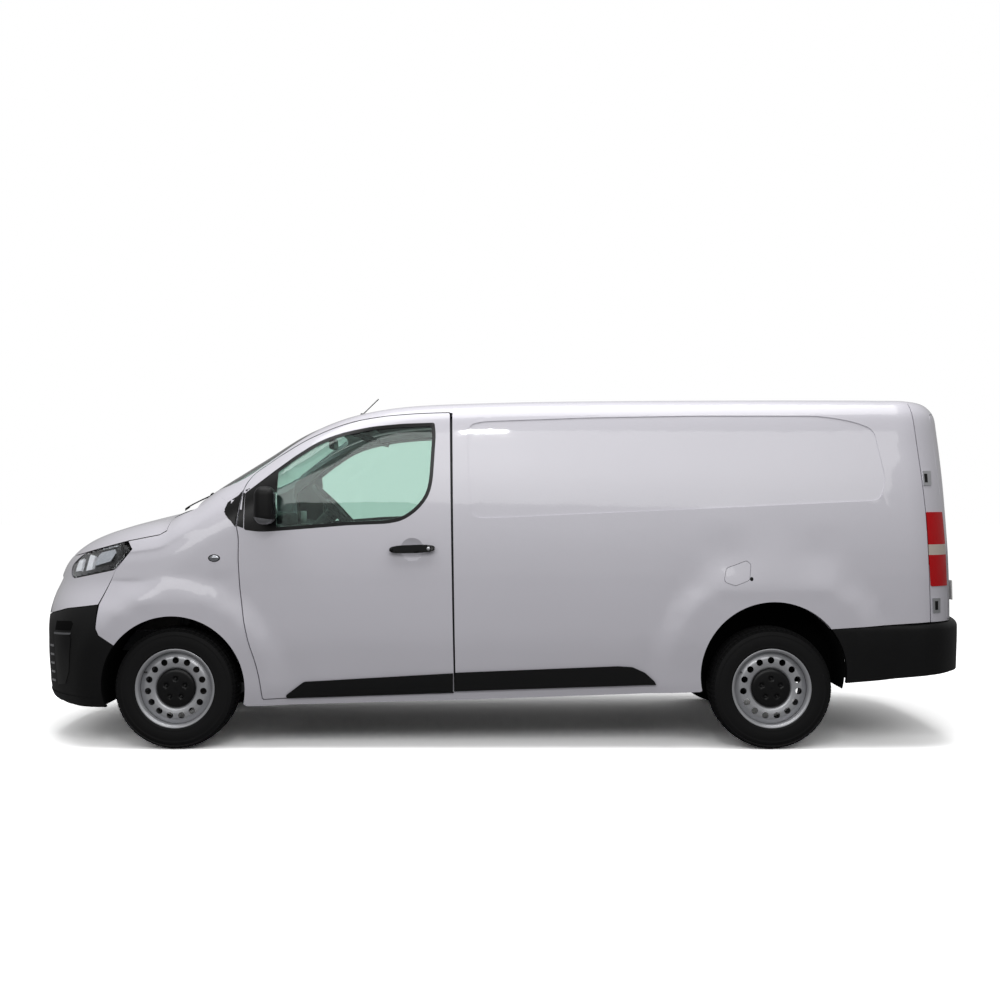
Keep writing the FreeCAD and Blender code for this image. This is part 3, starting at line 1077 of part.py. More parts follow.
muffler = rod(V(at(0.60), PIPE_Y, PIPE_Z), V(at(0.76), PIPE_Y, PIPE_Z), MUFFLER)
HANGER = 10.0
hangers = [rod(V(at(0.30), PIPE_Y, PIPE_Z), V(at(0.30), PIPE_Y, CAB_FLOOR_Z - SEAT_GAP), HANGER),
           rod(V(at(0.62), PIPE_Y, PIPE_Z), V(at(0.62), PIPE_Y, LOAD_FLOOR_Z - FLOOR - SEAT_GAP),
               HANGER),
           rod(V(at(0.74), PIPE_Y, PIPE_Z), V(at(0.74), PIPE_Y, LOAD_FLOOR_Z - FLOOR - SEAT_GAP),
               HANGER)]
parts["exhaust"] = largest(pipe[0].fuse(pipe[1:] + [muffler] + hangers))

# Front suspension on a subframe: lower arms, struts and the eyes that the steered hubs turn in.
PIN_Y = 760.0
PIN_RADIUS = 9.0
PIN_CLEAR = 0.5
EYE_RADIUS = 21.0
LOW_EYE_Z = 205.0
LOW_EYE_TOP = 228.0
HIGH_EYE_Z = 448.0
HIGH_EYE_TOP = 470.0
STRUT_RADIUS = 26.0
SPRING_RADIUS = 62.0
SPRING_Z = 700.0
SUB_Z0, SUB_Z1 = 225.0, 285.0
SUB_HALF = 360.0
ARM_HALF = 22.0
SUB_RAIL = 60.0
ARM_LAP = 20.0
KNEE_SHARE = 0.75
axle_x = FRONT_AXLE_X
sub_front_x = axle_x - SUB_RAIL
sub_rear_x = axle_x + 250.0
cross_front_x = axle_x + ARM_LAP
cross_rear_x = sub_rear_x - SUB_RAIL
web_front_x = axle_x - 40.0
front_post_x = axle_x - 10.0
sub_inner = SUB_HALF - SUB_RAIL
sub = box(sub_front_x, sub_rear_x, -SUB_HALF, SUB_HALF, SUB_Z0, SUB_Z1)
sub = sub.cut(box(cross_front_x, cross_rear_x, -sub_inner, sub_inner, 0, BODY_HEIGHT))


def low_arm():
    arm_points = ((axle_x - ARM_HALF, -PIN_Y), (axle_x + ARM_HALF, -PIN_Y),
                  (sub_rear_x - ARM_LAP, -SUB_HALF + ARM_LAP),
                  (cross_rear_x - ARM_LAP, -SUB_HALF + ARM_LAP),
                  (axle_x + ARM_LAP * 2, -PIN_Y * KNEE_SHARE), (cross_front_x, -SUB_HALF + ARM_LAP),
                  (web_front_x, -SUB_HALF + ARM_LAP))
    plate = plan_prism(arm_points, 0, LOW_EYE_Z, LOW_EYE_TOP)
    web = box(web_front_x, cross_front_x, -SUB_HALF, -sub_inner, LOW_EYE_Z, SUB_Z1)
    eye = rod(V(axle_x, -PIN_Y, LOW_EYE_Z), V(axle_x, -PIN_Y, LOW_EYE_TOP), EYE_RADIUS)
    hole = rod(V(axle_x, -PIN_Y, 0), V(axle_x, -PIN_Y, BODY_HEIGHT), PIN_RADIUS + PIN_CLEAR)
    high_eye = rod(V(axle_x, -PIN_Y, HIGH_EYE_Z), V(axle_x, -PIN_Y, HIGH_EYE_TOP), EYE_RADIUS)
    bracket = box(axle_x - ARM_HALF, axle_x + ARM_HALF, -PIN_Y, -STRUT_Y, HIGH_EYE_Z, HIGH_EYE_TOP)
    strut = rod(V(axle_x, -STRUT_Y, HIGH_EYE_Z), V(axle_x, -STRUT_Y, TOWER_TOP - SEAT_GAP),
                STRUT_RADIUS)
    spring = rod(V(axle_x, -STRUT_Y + SPRING_RADIUS / 2, SPRING_Z),
                 V(axle_x, -STRUT_Y + SPRING_RADIUS / 2, TOWER_TOP - SEAT_GAP), SPRING_RADIUS)
    return [plate.fuse([web, eye]).cut(hole), high_eye.fuse([bracket, strut, spring]).cut(hole)]


arm_left, strut_left = low_arm()
lift_leg = box(cross_rear_x, sub_rear_x, -LEG_Y - LEG_WIDTH, -sub_inner, SUB_Z0, SUB_Z1)
stand = box(cross_rear_x, sub_rear_x, -LEG_Y - LEG_WIDTH, -LEG_Y, SUB_Z0,
            CAB_FLOOR_Z - LEG_HEIGHT - SEAT_GAP)
front_stand = box(sub_front_x, front_post_x, -LEG_Y - LEG_WIDTH, -sub_inner, SUB_Z0, SUB_Z1)
front_post = box(sub_front_x, front_post_x, -LEG_Y - LEG_WIDTH, -LEG_Y, SUB_Z0,
                 FRONT_LEG_Z - SEAT_GAP)
side_bits = [arm_left, lift_leg, stand, front_stand, front_post]
sub = sub.fuse(side_bits + [mirrored(bit) for bit in side_bits])
parts["front_subframe"] = largest(sub)
parts["front_struts"] = both(largest(strut_left))

# Rear axle: a beam with trailing arms, springs and dampers.
REAR_BEAM_RADIUS = 38.0
HUB_IN = 838.0
HUB_FLANGE = 70.0
HUB_SPIGOT = 31.5
FLANGE_Y = TRACK / 2 + WHEEL_OFFSET - SEAT_GAP
SPIGOT_END = FLANGE_Y + 5.0
DRUM_RADIUS = 128.0
BEAM_Z = 300.0
TRAIL_Y = 560.0
TRAIL_Z = 400.0
TRAIL_RADIUS = 34.0
BUSH_RADIUS = 44.0
STUB_RADIUS = 40.0
DRUM_IN_Y = 745.0
DRUM_OUT_Y = 830.0
COIL_RADIUS = 55.0
COIL_LOW_Z = 310.0
COIL_ARM_RADIUS = 30.0
DAMPER_RADIUS = 24.0
DAMPER_TOP_Z = 500.0
beam_x = REAR_AXLE_X - 150.0
coil_x = REAR_AXLE_X - 20.0
bush_x = at(0.80)
damper_low = (REAR_AXLE_X + 60.0, BEAM_Z)
damper_high = (REAR_AXLE_X + 20.0, DAMPER_TOP_Z)
coil_top_z = LOAD_FLOOR_Z - FLOOR - LEG_HEIGHT - SEAT_GAP
rear_pieces = [rod(V(beam_x, -TRAIL_Y, BEAM_Z), V(beam_x, TRAIL_Y, BEAM_Z), REAR_BEAM_RADIUS)]
for side in (-1, 1):
    inner_y = side * TRAIL_Y
    coil_y = side * (LEG_Y + LEG_WIDTH / 2)
    stub = V(REAR_AXLE_X, inner_y, TYRE_RADIUS)
    bush = V(bush_x, side * (LEG_Y + LEG_WIDTH + SEAT_GAP), TRAIL_Z)
    coil = V(coil_x, coil_y, COIL_LOW_Z)
    rear_pieces += [
        rod(V(bush_x, inner_y, TRAIL_Z), stub, TRAIL_RADIUS),
        rod(bush, V(bush_x, inner_y + side * ROUND, TRAIL_Z), BUSH_RADIUS),
        rod(stub, V(REAR_AXLE_X, side * FLANGE_Y, TYRE_RADIUS), STUB_RADIUS),
        rod(V(REAR_AXLE_X, side * DRUM_IN_Y, TYRE_RADIUS),
            V(REAR_AXLE_X, side * DRUM_OUT_Y, TYRE_RADIUS), DRUM_RADIUS),
        rod(V(REAR_AXLE_X, side * HUB_IN, TYRE_RADIUS),
            V(REAR_AXLE_X, side * FLANGE_Y, TYRE_RADIUS), HUB_FLANGE),
        rod(V(REAR_AXLE_X, side * HUB_IN, TYRE_RADIUS),
            V(REAR_AXLE_X, side * SPIGOT_END, TYRE_RADIUS), HUB_SPIGOT),
        rod(coil, V(coil_x, coil_y, coil_top_z), COIL_RADIUS),
        rod(V(coil_x, coil_y, COIL_LOW_Z + 15.0), V(coil_x, inner_y, TYRE_RADIUS), COIL_ARM_RADIUS),
        rod(V(damper_low[0], inner_y, damper_low[1]), V(damper_high[0], inner_y, damper_high[1]),
            DAMPER_RADIUS),
        rod(stub, V(damper_low[0], inner_y, damper_low[1]), DAMPER_RADIUS)]
parts["rear_axle"] = largest(rear_pieces[0].fuse(rear_pieces[1:]))

# Steered hubs.
CARRIER_RADIUS = 52.0
DISC_RADIUS = 148.0
DISC_IN_Y = 790.0
DISC_OUT_Y = 812.0
CALIPER_IN_Y = 770.0
CALIPER_OUT_Y = 832.0
CALIPER_HALF = 55.0
CALIPER_REACH = 170.0
STEER_ARM_HALF = 15.0
STEER_ARM_THICK = 12.0
caliper_span_x = (axle_x + 90.0, axle_x + 165.0)
steer_arm_x = (axle_x + 10.0, axle_x + 125.0)


def across_rod(y0, y1, radius):
    return rod(V(axle_x, y0, TYRE_RADIUS), V(axle_x, y1, TYRE_RADIUS), radius)


knuckle_arm = box(axle_x - ARM_HALF, axle_x + ARM_HALF, -PIN_Y - ARM_HALF, -PIN_Y + ARM_HALF,
                  LOW_EYE_TOP + GAP * 2, HIGH_EYE_Z - GAP * 2)
pin = rod(V(axle_x, -PIN_Y, LOW_EYE_Z), V(axle_x, -PIN_Y, HIGH_EYE_TOP), PIN_RADIUS)
caliper = box(*caliper_span_x, -CALIPER_OUT_Y, -CALIPER_IN_Y, TYRE_RADIUS - CALIPER_HALF,
              TYRE_RADIUS + CALIPER_HALF)
caliper = caliper.common(across_rod(-HUB_IN, -PIN_Y, CALIPER_REACH))
knuckle = across_rod(-HUB_IN, -PIN_Y + CARRIER_RADIUS / 2, CARRIER_RADIUS).fuse([
    across_rod(-FLANGE_Y, -HUB_IN + GAP, HUB_FLANGE), across_rod(-SPIGOT_END, -HUB_IN, HUB_SPIGOT),
    across_rod(-DISC_OUT_Y, -DISC_IN_Y, DISC_RADIUS), caliper, knuckle_arm, pin,
    box(*steer_arm_x, -PIN_Y - STEER_ARM_HALF, -PIN_Y + STEER_ARM_HALF,
        TYRE_RADIUS - STEER_ARM_THICK, TYRE_RADIUS + STEER_ARM_THICK)])
parts["knuckle_left"] = largest(knuckle)
parts["knuckle_right"] = mirrored(largest(knuckle))

# Wheels, drawn as (offset outboard, radius) profiles and turned about the axle.
RIM_SHEET = 5.0
rim_outline = ((-101, 218), (-94, 215), (-90, 206), (-62, 203), (-42, 182), (10, 182), (30, 203),
               (62, 203), (90, 206), (94, 215), (101, 218), (103, 214), (98, 209), (95, 201),
               (64, 198), (33, 198), (13, 177), (-45, 177), (-64, 198), (-95, 201), (-98, 209),
               (-103, 214))
disc_outline = ((46, 32), (46, 94), (54, 106), (70, 120), (77, 142), (75, 165), (64, 182),
                (56, 200), (61, 201), (69, 186), (80, 168), (82, 141), (76, 116), (60, 103),
                (52, 92), (52, 32))
cap_outline = ((52.3, 0), (52.3, 90), (60.5, 101.5), (68, 107), (74, 106), (80, 98), (84, 60), (86, 0))
HOLE_RING = 153.0
HOLE_RADIUS = 18.0
HOLE_COUNT = 15
LUG_RING = 54.0
LUG_RADIUS = 13.0
LUG_DEPTH = 12.0
LUG_COUNT = 5


def turned(outline):
    wire = Part.makePolygon([V(0, -u, r) for u, r in outline + outline[:1]])
    return Part.Face(wire).revolve(V(0, 0, 0), ACROSS, 360)


def ring_of(radius, ring, count, u0, u1):
    holes = []
    for i in range(count):
        turn = 2 * math.pi * i / count
        x, z = ring * math.sin(turn), ring * math.cos(turn)
        holes.append(rod(V(x, -u0, z), V(x, -u1, z), radius))
    return Part.makeCompound(holes)


steel = turned(rim_outline).fuse(turned(disc_outline)).cut(
    ring_of(HOLE_RADIUS, HOLE_RING, HOLE_COUNT, 40.0, 110.0))
cap = turned(cap_outline).cut(ring_of(LUG_RADIUS, LUG_RING, LUG_COUNT, 86.0 - LUG_DEPTH, 110.0))
wheel = Part.makeCompound([largest(steel), cap])


def tyre_section():
    def place(u, r):
        return V(0, -u, r)

    outer = [(-88.6, 206.6), (-93.0, 215.5), (-100.5, 218.8), (-107.5, 262.0), (-98.0, 315.0),
             (-92.0, 326.0), (-80.0, 331.5), (0.0, 335.0)]
    inner = [(0.0, 316.0), (-76.0, 312.0), (-84.0, 300.0), (-93.0, 262.0), (-86.0, 228.0),
             (-72.0, 205.6)]
    edges = [Part.makeLine(place(*outer[0]), place(*outer[1])),
             Part.makeLine(place(*outer[1]), place(*outer[2])),
             Part.Arc(place(*outer[2]), place(*outer[3]), place(*outer[4])).toShape(),
             Part.Arc(place(*outer[4]), place(*outer[5]), place(*outer[6])).toShape(),
             Part.Arc(place(*outer[6]), place(*outer[7]), place(-outer[6][0], outer[6][1])).toShape(),
             Part.Arc(place(-outer[6][0], outer[6][1]), place(-outer[5][0], outer[5][1]),
                      place(-outer[4][0], outer[4][1])).toShape(),
             Part.Arc(place(-outer[4][0], outer[4][1]), place(-outer[3][0], outer[3][1]),
                      place(-outer[2][0], outer[2][1])).toShape(),
             Part.makeLine(place(-outer[2][0], outer[2][1]), place(-outer[1][0], outer[1][1])),
             Part.makeLine(place(-outer[1][0], outer[1][1]), place(-outer[0][0], outer[0][1]))]
    back = [(-outer[0][0], outer[0][1])] + [(-u, r) for u, r in inner[::-1]]
    back += [p for p in inner[1:]] + [outer[0]]
    edges += [Part.makeLine(place(*back[i]), place(*back[i + 1])) for i in range(len(back) - 1)]
    return Part.Face(Part.Wire(edges))


tyre = tyre_section().revolve(V(0, 0, 0), ACROSS, 360)
for name, x, right in (("front_left", FRONT_AXLE_X, False), ("front_right", FRONT_AXLE_X, True),
                       ("rear_left", REAR_AXLE_X, False), ("rear_right", REAR_AXLE_X, True)):
    for kind, shape in (("wheel", wheel), ("tyre", tyre)):
        placed = shape.copy()
        placed.translate(V(x, -WHEEL_Y, TYRE_RADIUS))
        parts[kind + "_" + name] = mirrored(placed) if right else placed

for name, shape in parts.items():
    shape.exportStep("parts/%s.step" % name)
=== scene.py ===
# %% [markdown]
# A long panel van on a studio floor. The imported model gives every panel, wheel and lamp its place
# and its real size, so this lesson starts by loading it. What follows adds the things that a
# pressed steel shell lacks: tread on the tyres, lamps with something inside them, soft seats,
# blank plates, hinges and a finish for every surface.

# %% The frame
import bpy
import bmesh
import json
import math
from mathutils import Matrix, Vector
from mathutils.bvhtree import BVHTree


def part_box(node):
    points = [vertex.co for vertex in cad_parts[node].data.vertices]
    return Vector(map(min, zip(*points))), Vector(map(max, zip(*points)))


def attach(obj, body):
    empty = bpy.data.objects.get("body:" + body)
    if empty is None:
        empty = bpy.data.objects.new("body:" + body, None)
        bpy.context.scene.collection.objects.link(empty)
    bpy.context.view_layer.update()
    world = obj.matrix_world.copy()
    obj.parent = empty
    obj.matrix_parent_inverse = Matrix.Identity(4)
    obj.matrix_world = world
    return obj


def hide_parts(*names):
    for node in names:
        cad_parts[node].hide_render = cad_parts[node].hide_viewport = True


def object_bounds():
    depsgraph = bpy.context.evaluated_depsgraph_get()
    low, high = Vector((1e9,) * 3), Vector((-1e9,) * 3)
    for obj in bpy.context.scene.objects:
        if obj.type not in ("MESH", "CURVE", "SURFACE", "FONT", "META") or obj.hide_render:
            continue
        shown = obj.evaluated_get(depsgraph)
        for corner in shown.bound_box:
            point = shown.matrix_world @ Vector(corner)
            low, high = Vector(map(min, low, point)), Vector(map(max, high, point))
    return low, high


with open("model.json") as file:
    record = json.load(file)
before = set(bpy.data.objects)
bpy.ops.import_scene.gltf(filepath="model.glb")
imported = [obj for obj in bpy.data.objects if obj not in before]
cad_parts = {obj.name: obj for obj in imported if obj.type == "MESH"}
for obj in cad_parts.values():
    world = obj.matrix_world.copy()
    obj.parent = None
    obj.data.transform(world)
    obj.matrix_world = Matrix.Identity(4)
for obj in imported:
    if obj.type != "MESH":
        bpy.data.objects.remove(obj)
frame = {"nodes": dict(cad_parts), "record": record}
nodes = frame["nodes"]
cad_low, cad_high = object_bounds()
print("model box", [round(v, 3) for v in cad_low], [round(v, 3) for v in cad_high])

# %% [markdown]
# A shader works with linear light, but a colour is easiest to read from a picture as an sRGB hex
# code. One function turns the second into the first. Another adds a node, sets its options, and
# takes each input either as a value or as a socket to link to, so a whole material stays a short
# list of named steps.

# %% Colours and nodes
def linear(code):
    """An sRGB hex colour as linear red, green, blue and alpha."""
    parts = [int(code[i:i + 2], 16) / 255 for i in (1, 3, 5)]
    return [c / 12.92 if c <= 0.04045 else ((c + 0.055) / 1.055) ** 2.4 for c in parts] + [1.0]


def add(tree, kind, settings=None, inputs=None):
    """Adds a node. An input given as a socket is linked, and anything else is its value."""
    made = tree.nodes.new("ShaderNode" + kind)
    for key, value in (settings or {}).items():
        setattr(made, key, value)
    for key, value in (inputs or {}).items():
        if isinstance(value, bpy.types.NodeSocket):
            tree.links.new(value, made.inputs[key])
        else:
            made.inputs[key].default_value = value
    return made


def shader_of(name, **inputs):
    """A new material with one principled shader, its tree, and the object's own coordinates."""
    material = bpy.data.materials.new(name)
    material.use_nodes = True
    tree = material.node_tree
    shader = tree.nodes["Principled BSDF"]
    for key, value in inputs.items():
        shader.inputs[key.replace("_", " ")].default_value = value
    place = add(tree, "TexCoord").outputs["Object"]
    return material, tree, shader, place


# %% [markdown]
# Most finishes here are a base colour that drifts a little, a roughness that drifts with it, and
# a fine relief. Real grain is given in millimetres: a noise texture's scale is about one over the
# grain in metres. Grain finer than a millimetre would be smaller than a pixel of this picture,
# so it is drawn two or three times too coarse.

# %% A grained finish
def grained(name, base, second, rough, rough_drift, grain_mm, relief_mm, patch_mm=180, **inputs):
    """A finish with two close colours in patches and a fine relief."""
    material, tree, shader, place = shader_of(name, **inputs)
    patch = add(tree, "TexNoise", inputs={"Vector": place, "Scale": 1000 / patch_mm, "Detail": 3.0})
    tint = add(tree, "Mix", {"data_type": "RGBA"},
               {"Factor": patch.outputs["Fac"], "A": linear(base), "B": linear(second)})
    tree.links.new(tint.outputs["Result"], shader.inputs["Base Color"])
    spread = add(tree, "MapRange", inputs={"Value": patch.outputs["Fac"],
                                           "To Min": rough - rough_drift,
                                           "To Max": rough + rough_drift})
    tree.links.new(spread.outputs["Result"], shader.inputs["Roughness"])
    grain = add(tree, "TexNoise", inputs={"Vector": place, "Scale": 1000 / grain_mm, "Detail": 2.0})
    relief = add(tree, "Bump", inputs={"Height": grain.outputs["Fac"], "Strength": 1.0,
                                       "Distance": relief_mm / 1000})
    tree.links.new(relief.outputs["Normal"], shader.inputs["Normal"])
    return material, tree, shader, place


# %% [markdown]
# The body wears a white gloss paint under clear lacquer. Sprayed lacquer never lies quite flat:
# it has a faint orange peel a few millimetres across, which softens the edges of reflections.
# The white leans a little towards blue and violet.

# %% Gloss white body paint
# Two-coat acrylic over pressed steel: an even, bright surface with a sharp clear-coat gloss.
gloss_white_paint = grained("gloss_white_paint", "#D2D0D8", "#CECCD4", 0.34, 0.03, 7, 0.010,
                            patch_mm=600, Coat_Weight=0.8, Coat_Roughness=0.05)[0]
print("made", gloss_white_paint.name)

# %% [markdown]
# Bumpers, sill mouldings, mirror housings and arch liners are injection-moulded polypropylene.
# Its tool is etched with a leather-like grain about a millimetre across, so it looks dull, very
# dark and slightly speckled, and brightens only where it turns away from the eye.

# %% Plastics
# Grained polypropylene: dull near-black with a soft sheen.
grained_black_plastic = grained("grained_black_plastic", "#0E0E0F", "#0A0A0B", 0.50, 0.07,
                                2.4, 0.12, patch_mm=90, Specular_IOR_Level=0.25)[0]
# Felted wheel-arch lining: needle-punched fibre, without any gloss.
arch_felt = grained("arch_felt", "#0C0C0C", "#080808", 0.92, 0.04, 3.0, 0.5, patch_mm=60,
                    Specular_IOR_Level=0.1)[0]
# Slush-moulded cab plastic: soft touch, a little lighter than the bumpers.
cab_plastic = grained("cab_plastic", "#1E1F21", "#18191B", 0.60, 0.06, 2.0, 0.10)[0]
# Blow-moulded polyethylene fuel tank: waxy and uneven.
tank_polyethylene = grained("tank_polyethylene", "#1D1D1E", "#151515", 0.45, 0.10, 30, 0.6)[0]
# Smooth gloss black plastic of the lamp bezels and the wheel caps. The same black is also
# painted shade: sheets in the hinge slots, hoops in the rim creases and an oval on the fuel
# flap's finger notch.
smooth_black_plastic_and_shade = grained("smooth_black_plastic_and_shade", "#0B0B0C", "#080809", 0.30, 0.05, 5, 0.01,
                               Specular_IOR_Level=0.3)[0]
# Satin grey skirt of the mirrors and ledge of the bumper corners.
skirt_grey = grained("skirt_grey", "#6E6F72", "#646568", 0.38, 0.06, 2.4, 0.04)[0]
# Grey inner headlining: brushed polyester knit on a pressed board.
headliner_knit = grained("headliner_knit", "#26282A", "#202224", 0.95, 0.03, 2.0, 0.25)[0]
print("finishes with the plastics:", len(bpy.data.materials))

# %% [markdown]
# Steel shows up in several states: dipped dark primer on the floor and beams, raw cast iron on
# the engine and hubs, dull rolled steel on the exhaust, bright silver lacquer on the wheels, and
# zinc plating on the hinges. What sets them apart for the eye is roughness and how much the
# colour wanders.

# %% Metals
# Cathodic dip primer under wax: satin dark grey.
dipped_primer = grained("dipped_primer", "#3B3C3F", "#313235", 0.50, 0.10, 9, 0.05)[0]
# Sand-cast iron: rough, grey-brown, mottled.
cast_iron = grained("cast_iron", "#5E5B58", "#4A4745", 0.72, 0.10, 4, 0.4, patch_mm=50,
                    Metallic=0.6)[0]
# Aluminised exhaust steel: brushed by rolling and stained by heat.
exhaust_steel = grained("exhaust_steel", "#8A8580", "#6E665F", 0.42, 0.10, 12, 0.04,
                        patch_mm=120, Metallic=1.0)[0]
# Silver wheel lacquer: fine metal flake that looks pale grey and softly bright.
wheel_lacquer = grained("wheel_lacquer", "#B9BABD", "#AEAFB3", 0.36, 0.05, 3, 0.02,
                        patch_mm=80, Metallic=0.55, Coat_Weight=0.4, Coat_Roughness=0.12)[0]
# Zinc plating on the hinges, the lock barrels and the slats of the bumper corners.
bright_zinc = grained("bright_zinc", "#C9CACD", "#BFC0C4", 0.30, 0.06, 3, 0.02, Metallic=0.85)[0]
# Chromed reflector shells in the lamps.
reflector_chrome = grained("reflector_chrome", "#B4B6BA", "#A2A5AA", 0.16, 0.04, 20, 0.01,
                           Metallic=1.0)[0]
# Silvered mirror glass, darkened against dazzle: smooth, and as dark as what it faces.
mirror_silver = grained("mirror_silver", "#4A4D50", "#424548", 0.06, 0.03, 20, 0.01,
                        Metallic=1.0)[0]
# Tyre rubber: carbon-black compound, dull with a slight bloom.
tyre_rubber = grained("tyre_rubber", "#0E0E0F", "#131314", 0.62, 0.08, 6, 0.10, patch_mm=70,
                      Specular_IOR_Level=0.2)[0]
# Blank retroreflective plate sheet: bright satin white.
plate_sheet = grained("plate_sheet", "#E4E4E0", "#DCDCD8", 0.40, 0.05, 2.5, 0.03)[0]
print("finishes with the metals:", len(bpy.data.materials))

# %% [markdown]
# Glass and lamp covers let light through. The side glass is tinted in the mass, a light
# blue-green, and a view across the cab crosses four surfaces of it, so each one takes only a
# quarter of the tint that is seen. Lamp covers are moulded polycarbonate with a hard coat.

# %% Glass and lenses
def see_through(name, colour, ior, scale, detail, most_blur):
    """A clear material with a film of dust that blurs it a little in places."""
    material, tree, shader, place = shader_of(name, Base_Color=linear(colour), IOR=ior,
                                              Transmission_Weight=1.0)
    dust = add(tree, "TexNoise", inputs={"Vector": place, "Scale": scale, "Detail": detail})
    blur = add(tree, "MapRange", inputs={"Value": dust.outputs["Fac"], "To Min": 0.0,
                                         "To Max": most_blur})
    tree.links.new(blur.outputs["Result"], shader.inputs["Roughness"])
    return material


# Tempered float glass with a green tint.
green_glass = see_through("green_glass", "#C9E1D8", 1.50, 14.0, 5.0, 0.03)
# Hard-coated clear polycarbonate.
clear_cover = see_through("clear_cover", "#F2F4F6", 1.20, 20.0, 4.0, 0.04)
print("clear materials:", green_glass.name, clear_cover.name)

# %% [markdown]
# A tail lamp is one moulding in two colours: red, with a pale band across it for the reversing
# lamp. Fine level ribs inside the cover scatter the light. The height of each point picks the
# colour, because the bands are level on the real lamp.

# %% Tail lamp
BAND_LOW, BAND_HIGH = 1.070, 1.127
tail_lens, tree, shader, place = shader_of(
    "tail_lens", Specular_IOR_Level=0.2, Coat_Weight=0.1, Coat_Roughness=0.04, Roughness=0.30)
height = add(tree, "SeparateXYZ", inputs={"Vector": place}).outputs["Z"]
over = add(tree, "Math", {"operation": "GREATER_THAN"}, {0: height, 1: BAND_LOW}).outputs[0]
under = add(tree, "Math", {"operation": "LESS_THAN"}, {0: height, 1: BAND_HIGH}).outputs[0]
band = add(tree, "Math", {"operation": "MULTIPLY"}, {0: over, 1: under}).outputs[0]
ribs = add(tree, "TexWave", {"bands_direction": "Z"}, {"Vector": place, "Scale": 60.0})
red = add(tree, "Mix", {"data_type": "RGBA"},
          {"Factor": ribs.outputs["Fac"], "A": linear("#CE0510"), "B": linear("#AE020A")})
colour = add(tree, "Mix", {"data_type": "RGBA"},
             {"Factor": band, "A": red.outputs["Result"], "B": linear("#C9BFB4")})
tree.links.new(colour.outputs["Result"], shader.inputs["Base Color"])
relief = add(tree, "Bump", inputs={"Height": ribs.outputs["Fac"], "Distance": 0.0006})
tree.links.new(relief.outputs["Normal"], shader.inputs["Normal"])

# The pale opal of daytime light guides.
opal_guide = grained("opal_guide", "#F4F4F6", "#ECECF0", 0.25, 0.03, 4, 0.01, Coat_Weight=1.0)[0]
print("lamp materials:", tail_lens.name, opal_guide.name)

# %% [markdown]
# Seat cloth is a flat woven polyester, threads about a millimetre apart. Two wave textures at
# right angles stand in for warp and weft, drawn at 2.5 mm so that the weave survives in a
# picture of a whole van. Sheen gives the pale fuzz that cloth has at its edges.

# %% Seat cloth
seat_cloth, tree, shader, place = shader_of("seat_cloth", Roughness=0.9, Sheen_Weight=0.35)
warp = add(tree, "TexWave", {"bands_direction": "X"}, {"Vector": place, "Scale": 130.0})
weft = add(tree, "TexWave", {"bands_direction": "Y"}, {"Vector": place, "Scale": 130.0})
weave = add(tree, "Math", {"operation": "MULTIPLY"},
            {0: warp.outputs["Fac"], 1: weft.outputs["Fac"]}).outputs[0]
cloth = add(tree, "Mix", {"data_type": "RGBA"},
            {"Factor": weave, "A": linear("#232427"), "B": linear("#3A3C41")})
tree.links.new(cloth.outputs["Result"], shader.inputs["Base Color"])
relief = add(tree, "Bump", inputs={"Height": weave, "Distance": 0.0005})
tree.links.new(relief.outputs["Normal"], shader.inputs["Normal"])
print("finishes made:", len(bpy.data.materials))

# %% [markdown]
# Each slot of the model's record gets its finish. The shapes of these nodes are right already,
# so only their material slots are filled.

# %% Finishes on the model's nodes
finish_of_slot = {
    "body_paint": gloss_white_paint, "black_plastic": grained_black_plastic,
    "tinted_glass": green_glass, "clear_lamp": clear_cover, "red_lamp": tail_lens,
    "chassis_paint": dipped_primer, "cab_plastic": cab_plastic, "seat_cloth": seat_cloth,
    "engine_iron": cast_iron, "exhaust_steel": exhaust_steel, "tank_plastic": tank_polyethylene,
    "wheel_silver": wheel_lacquer, "tyre_rubber": tyre_rubber}
slot_of = {row["node"]: row["material_slot"] for row in frame["record"]["subparts"]}


def finish(piece, material):
    """Puts one material on a piece, in place of whatever it came with."""
    piece.data.materials.clear()
    piece.data.materials.append(material)


for name, piece in nodes.items():
    finish(piece, finish_of_slot[slot_of[name]])
finish(nodes["arch_liners"], arch_felt)
print("nodes finished:", len(nodes))

# %% [markdown]
# New pieces start as a bmesh. `piece_from` closes one off: it welds doubles, turns the faces
# outwards, marks edges sharper than 35 degrees as hard so that round parts shade smoothly, and
# sets the piece on its body. `carrier` builds a search tree of some nodes, so that a piece can
# be laid on the curved body exactly where a ray from outside meets it. Short helpers turn,
# shift, cut and measure what a bmesh holds.

# %% Making and placing pieces
SMOOTH_ANGLE = math.radians(35)
WELD = 1e-5
OUTSIDE = 1.5
QUARTER = math.pi / 2


def turn(bm, verts, angle, axis, centre=(0, 0, 0)):
    """Turns vertices by an angle about an axis through a centre."""
    bmesh.ops.rotate(bm, cent=centre, matrix=Matrix.Rotation(angle, 3, axis), verts=verts)


def shift(bm, verts, by):
    """Moves vertices."""
    bmesh.ops.translate(bm, vec=by, verts=verts)


def cut(bm, point, outward, clear=True):
    """Cuts all of a bmesh with a plane, and drops what lies outside it unless told not to."""
    bmesh.ops.bisect_plane(bm, geom=bm.verts[:] + bm.edges[:] + bm.faces[:], plane_co=point,
                           plane_no=outward, clear_outer=clear)


def edges_of(verts):
    """The edges that meet some vertices."""
    return list({e for v in verts for e in v.link_edges})


def extent(bm):
    """The lowest and the highest corner of what a bmesh holds."""
    spans = [[v.co[i] for v in bm.verts] for i in range(3)]
    return [min(s) for s in spans], [max(s) for s in spans]


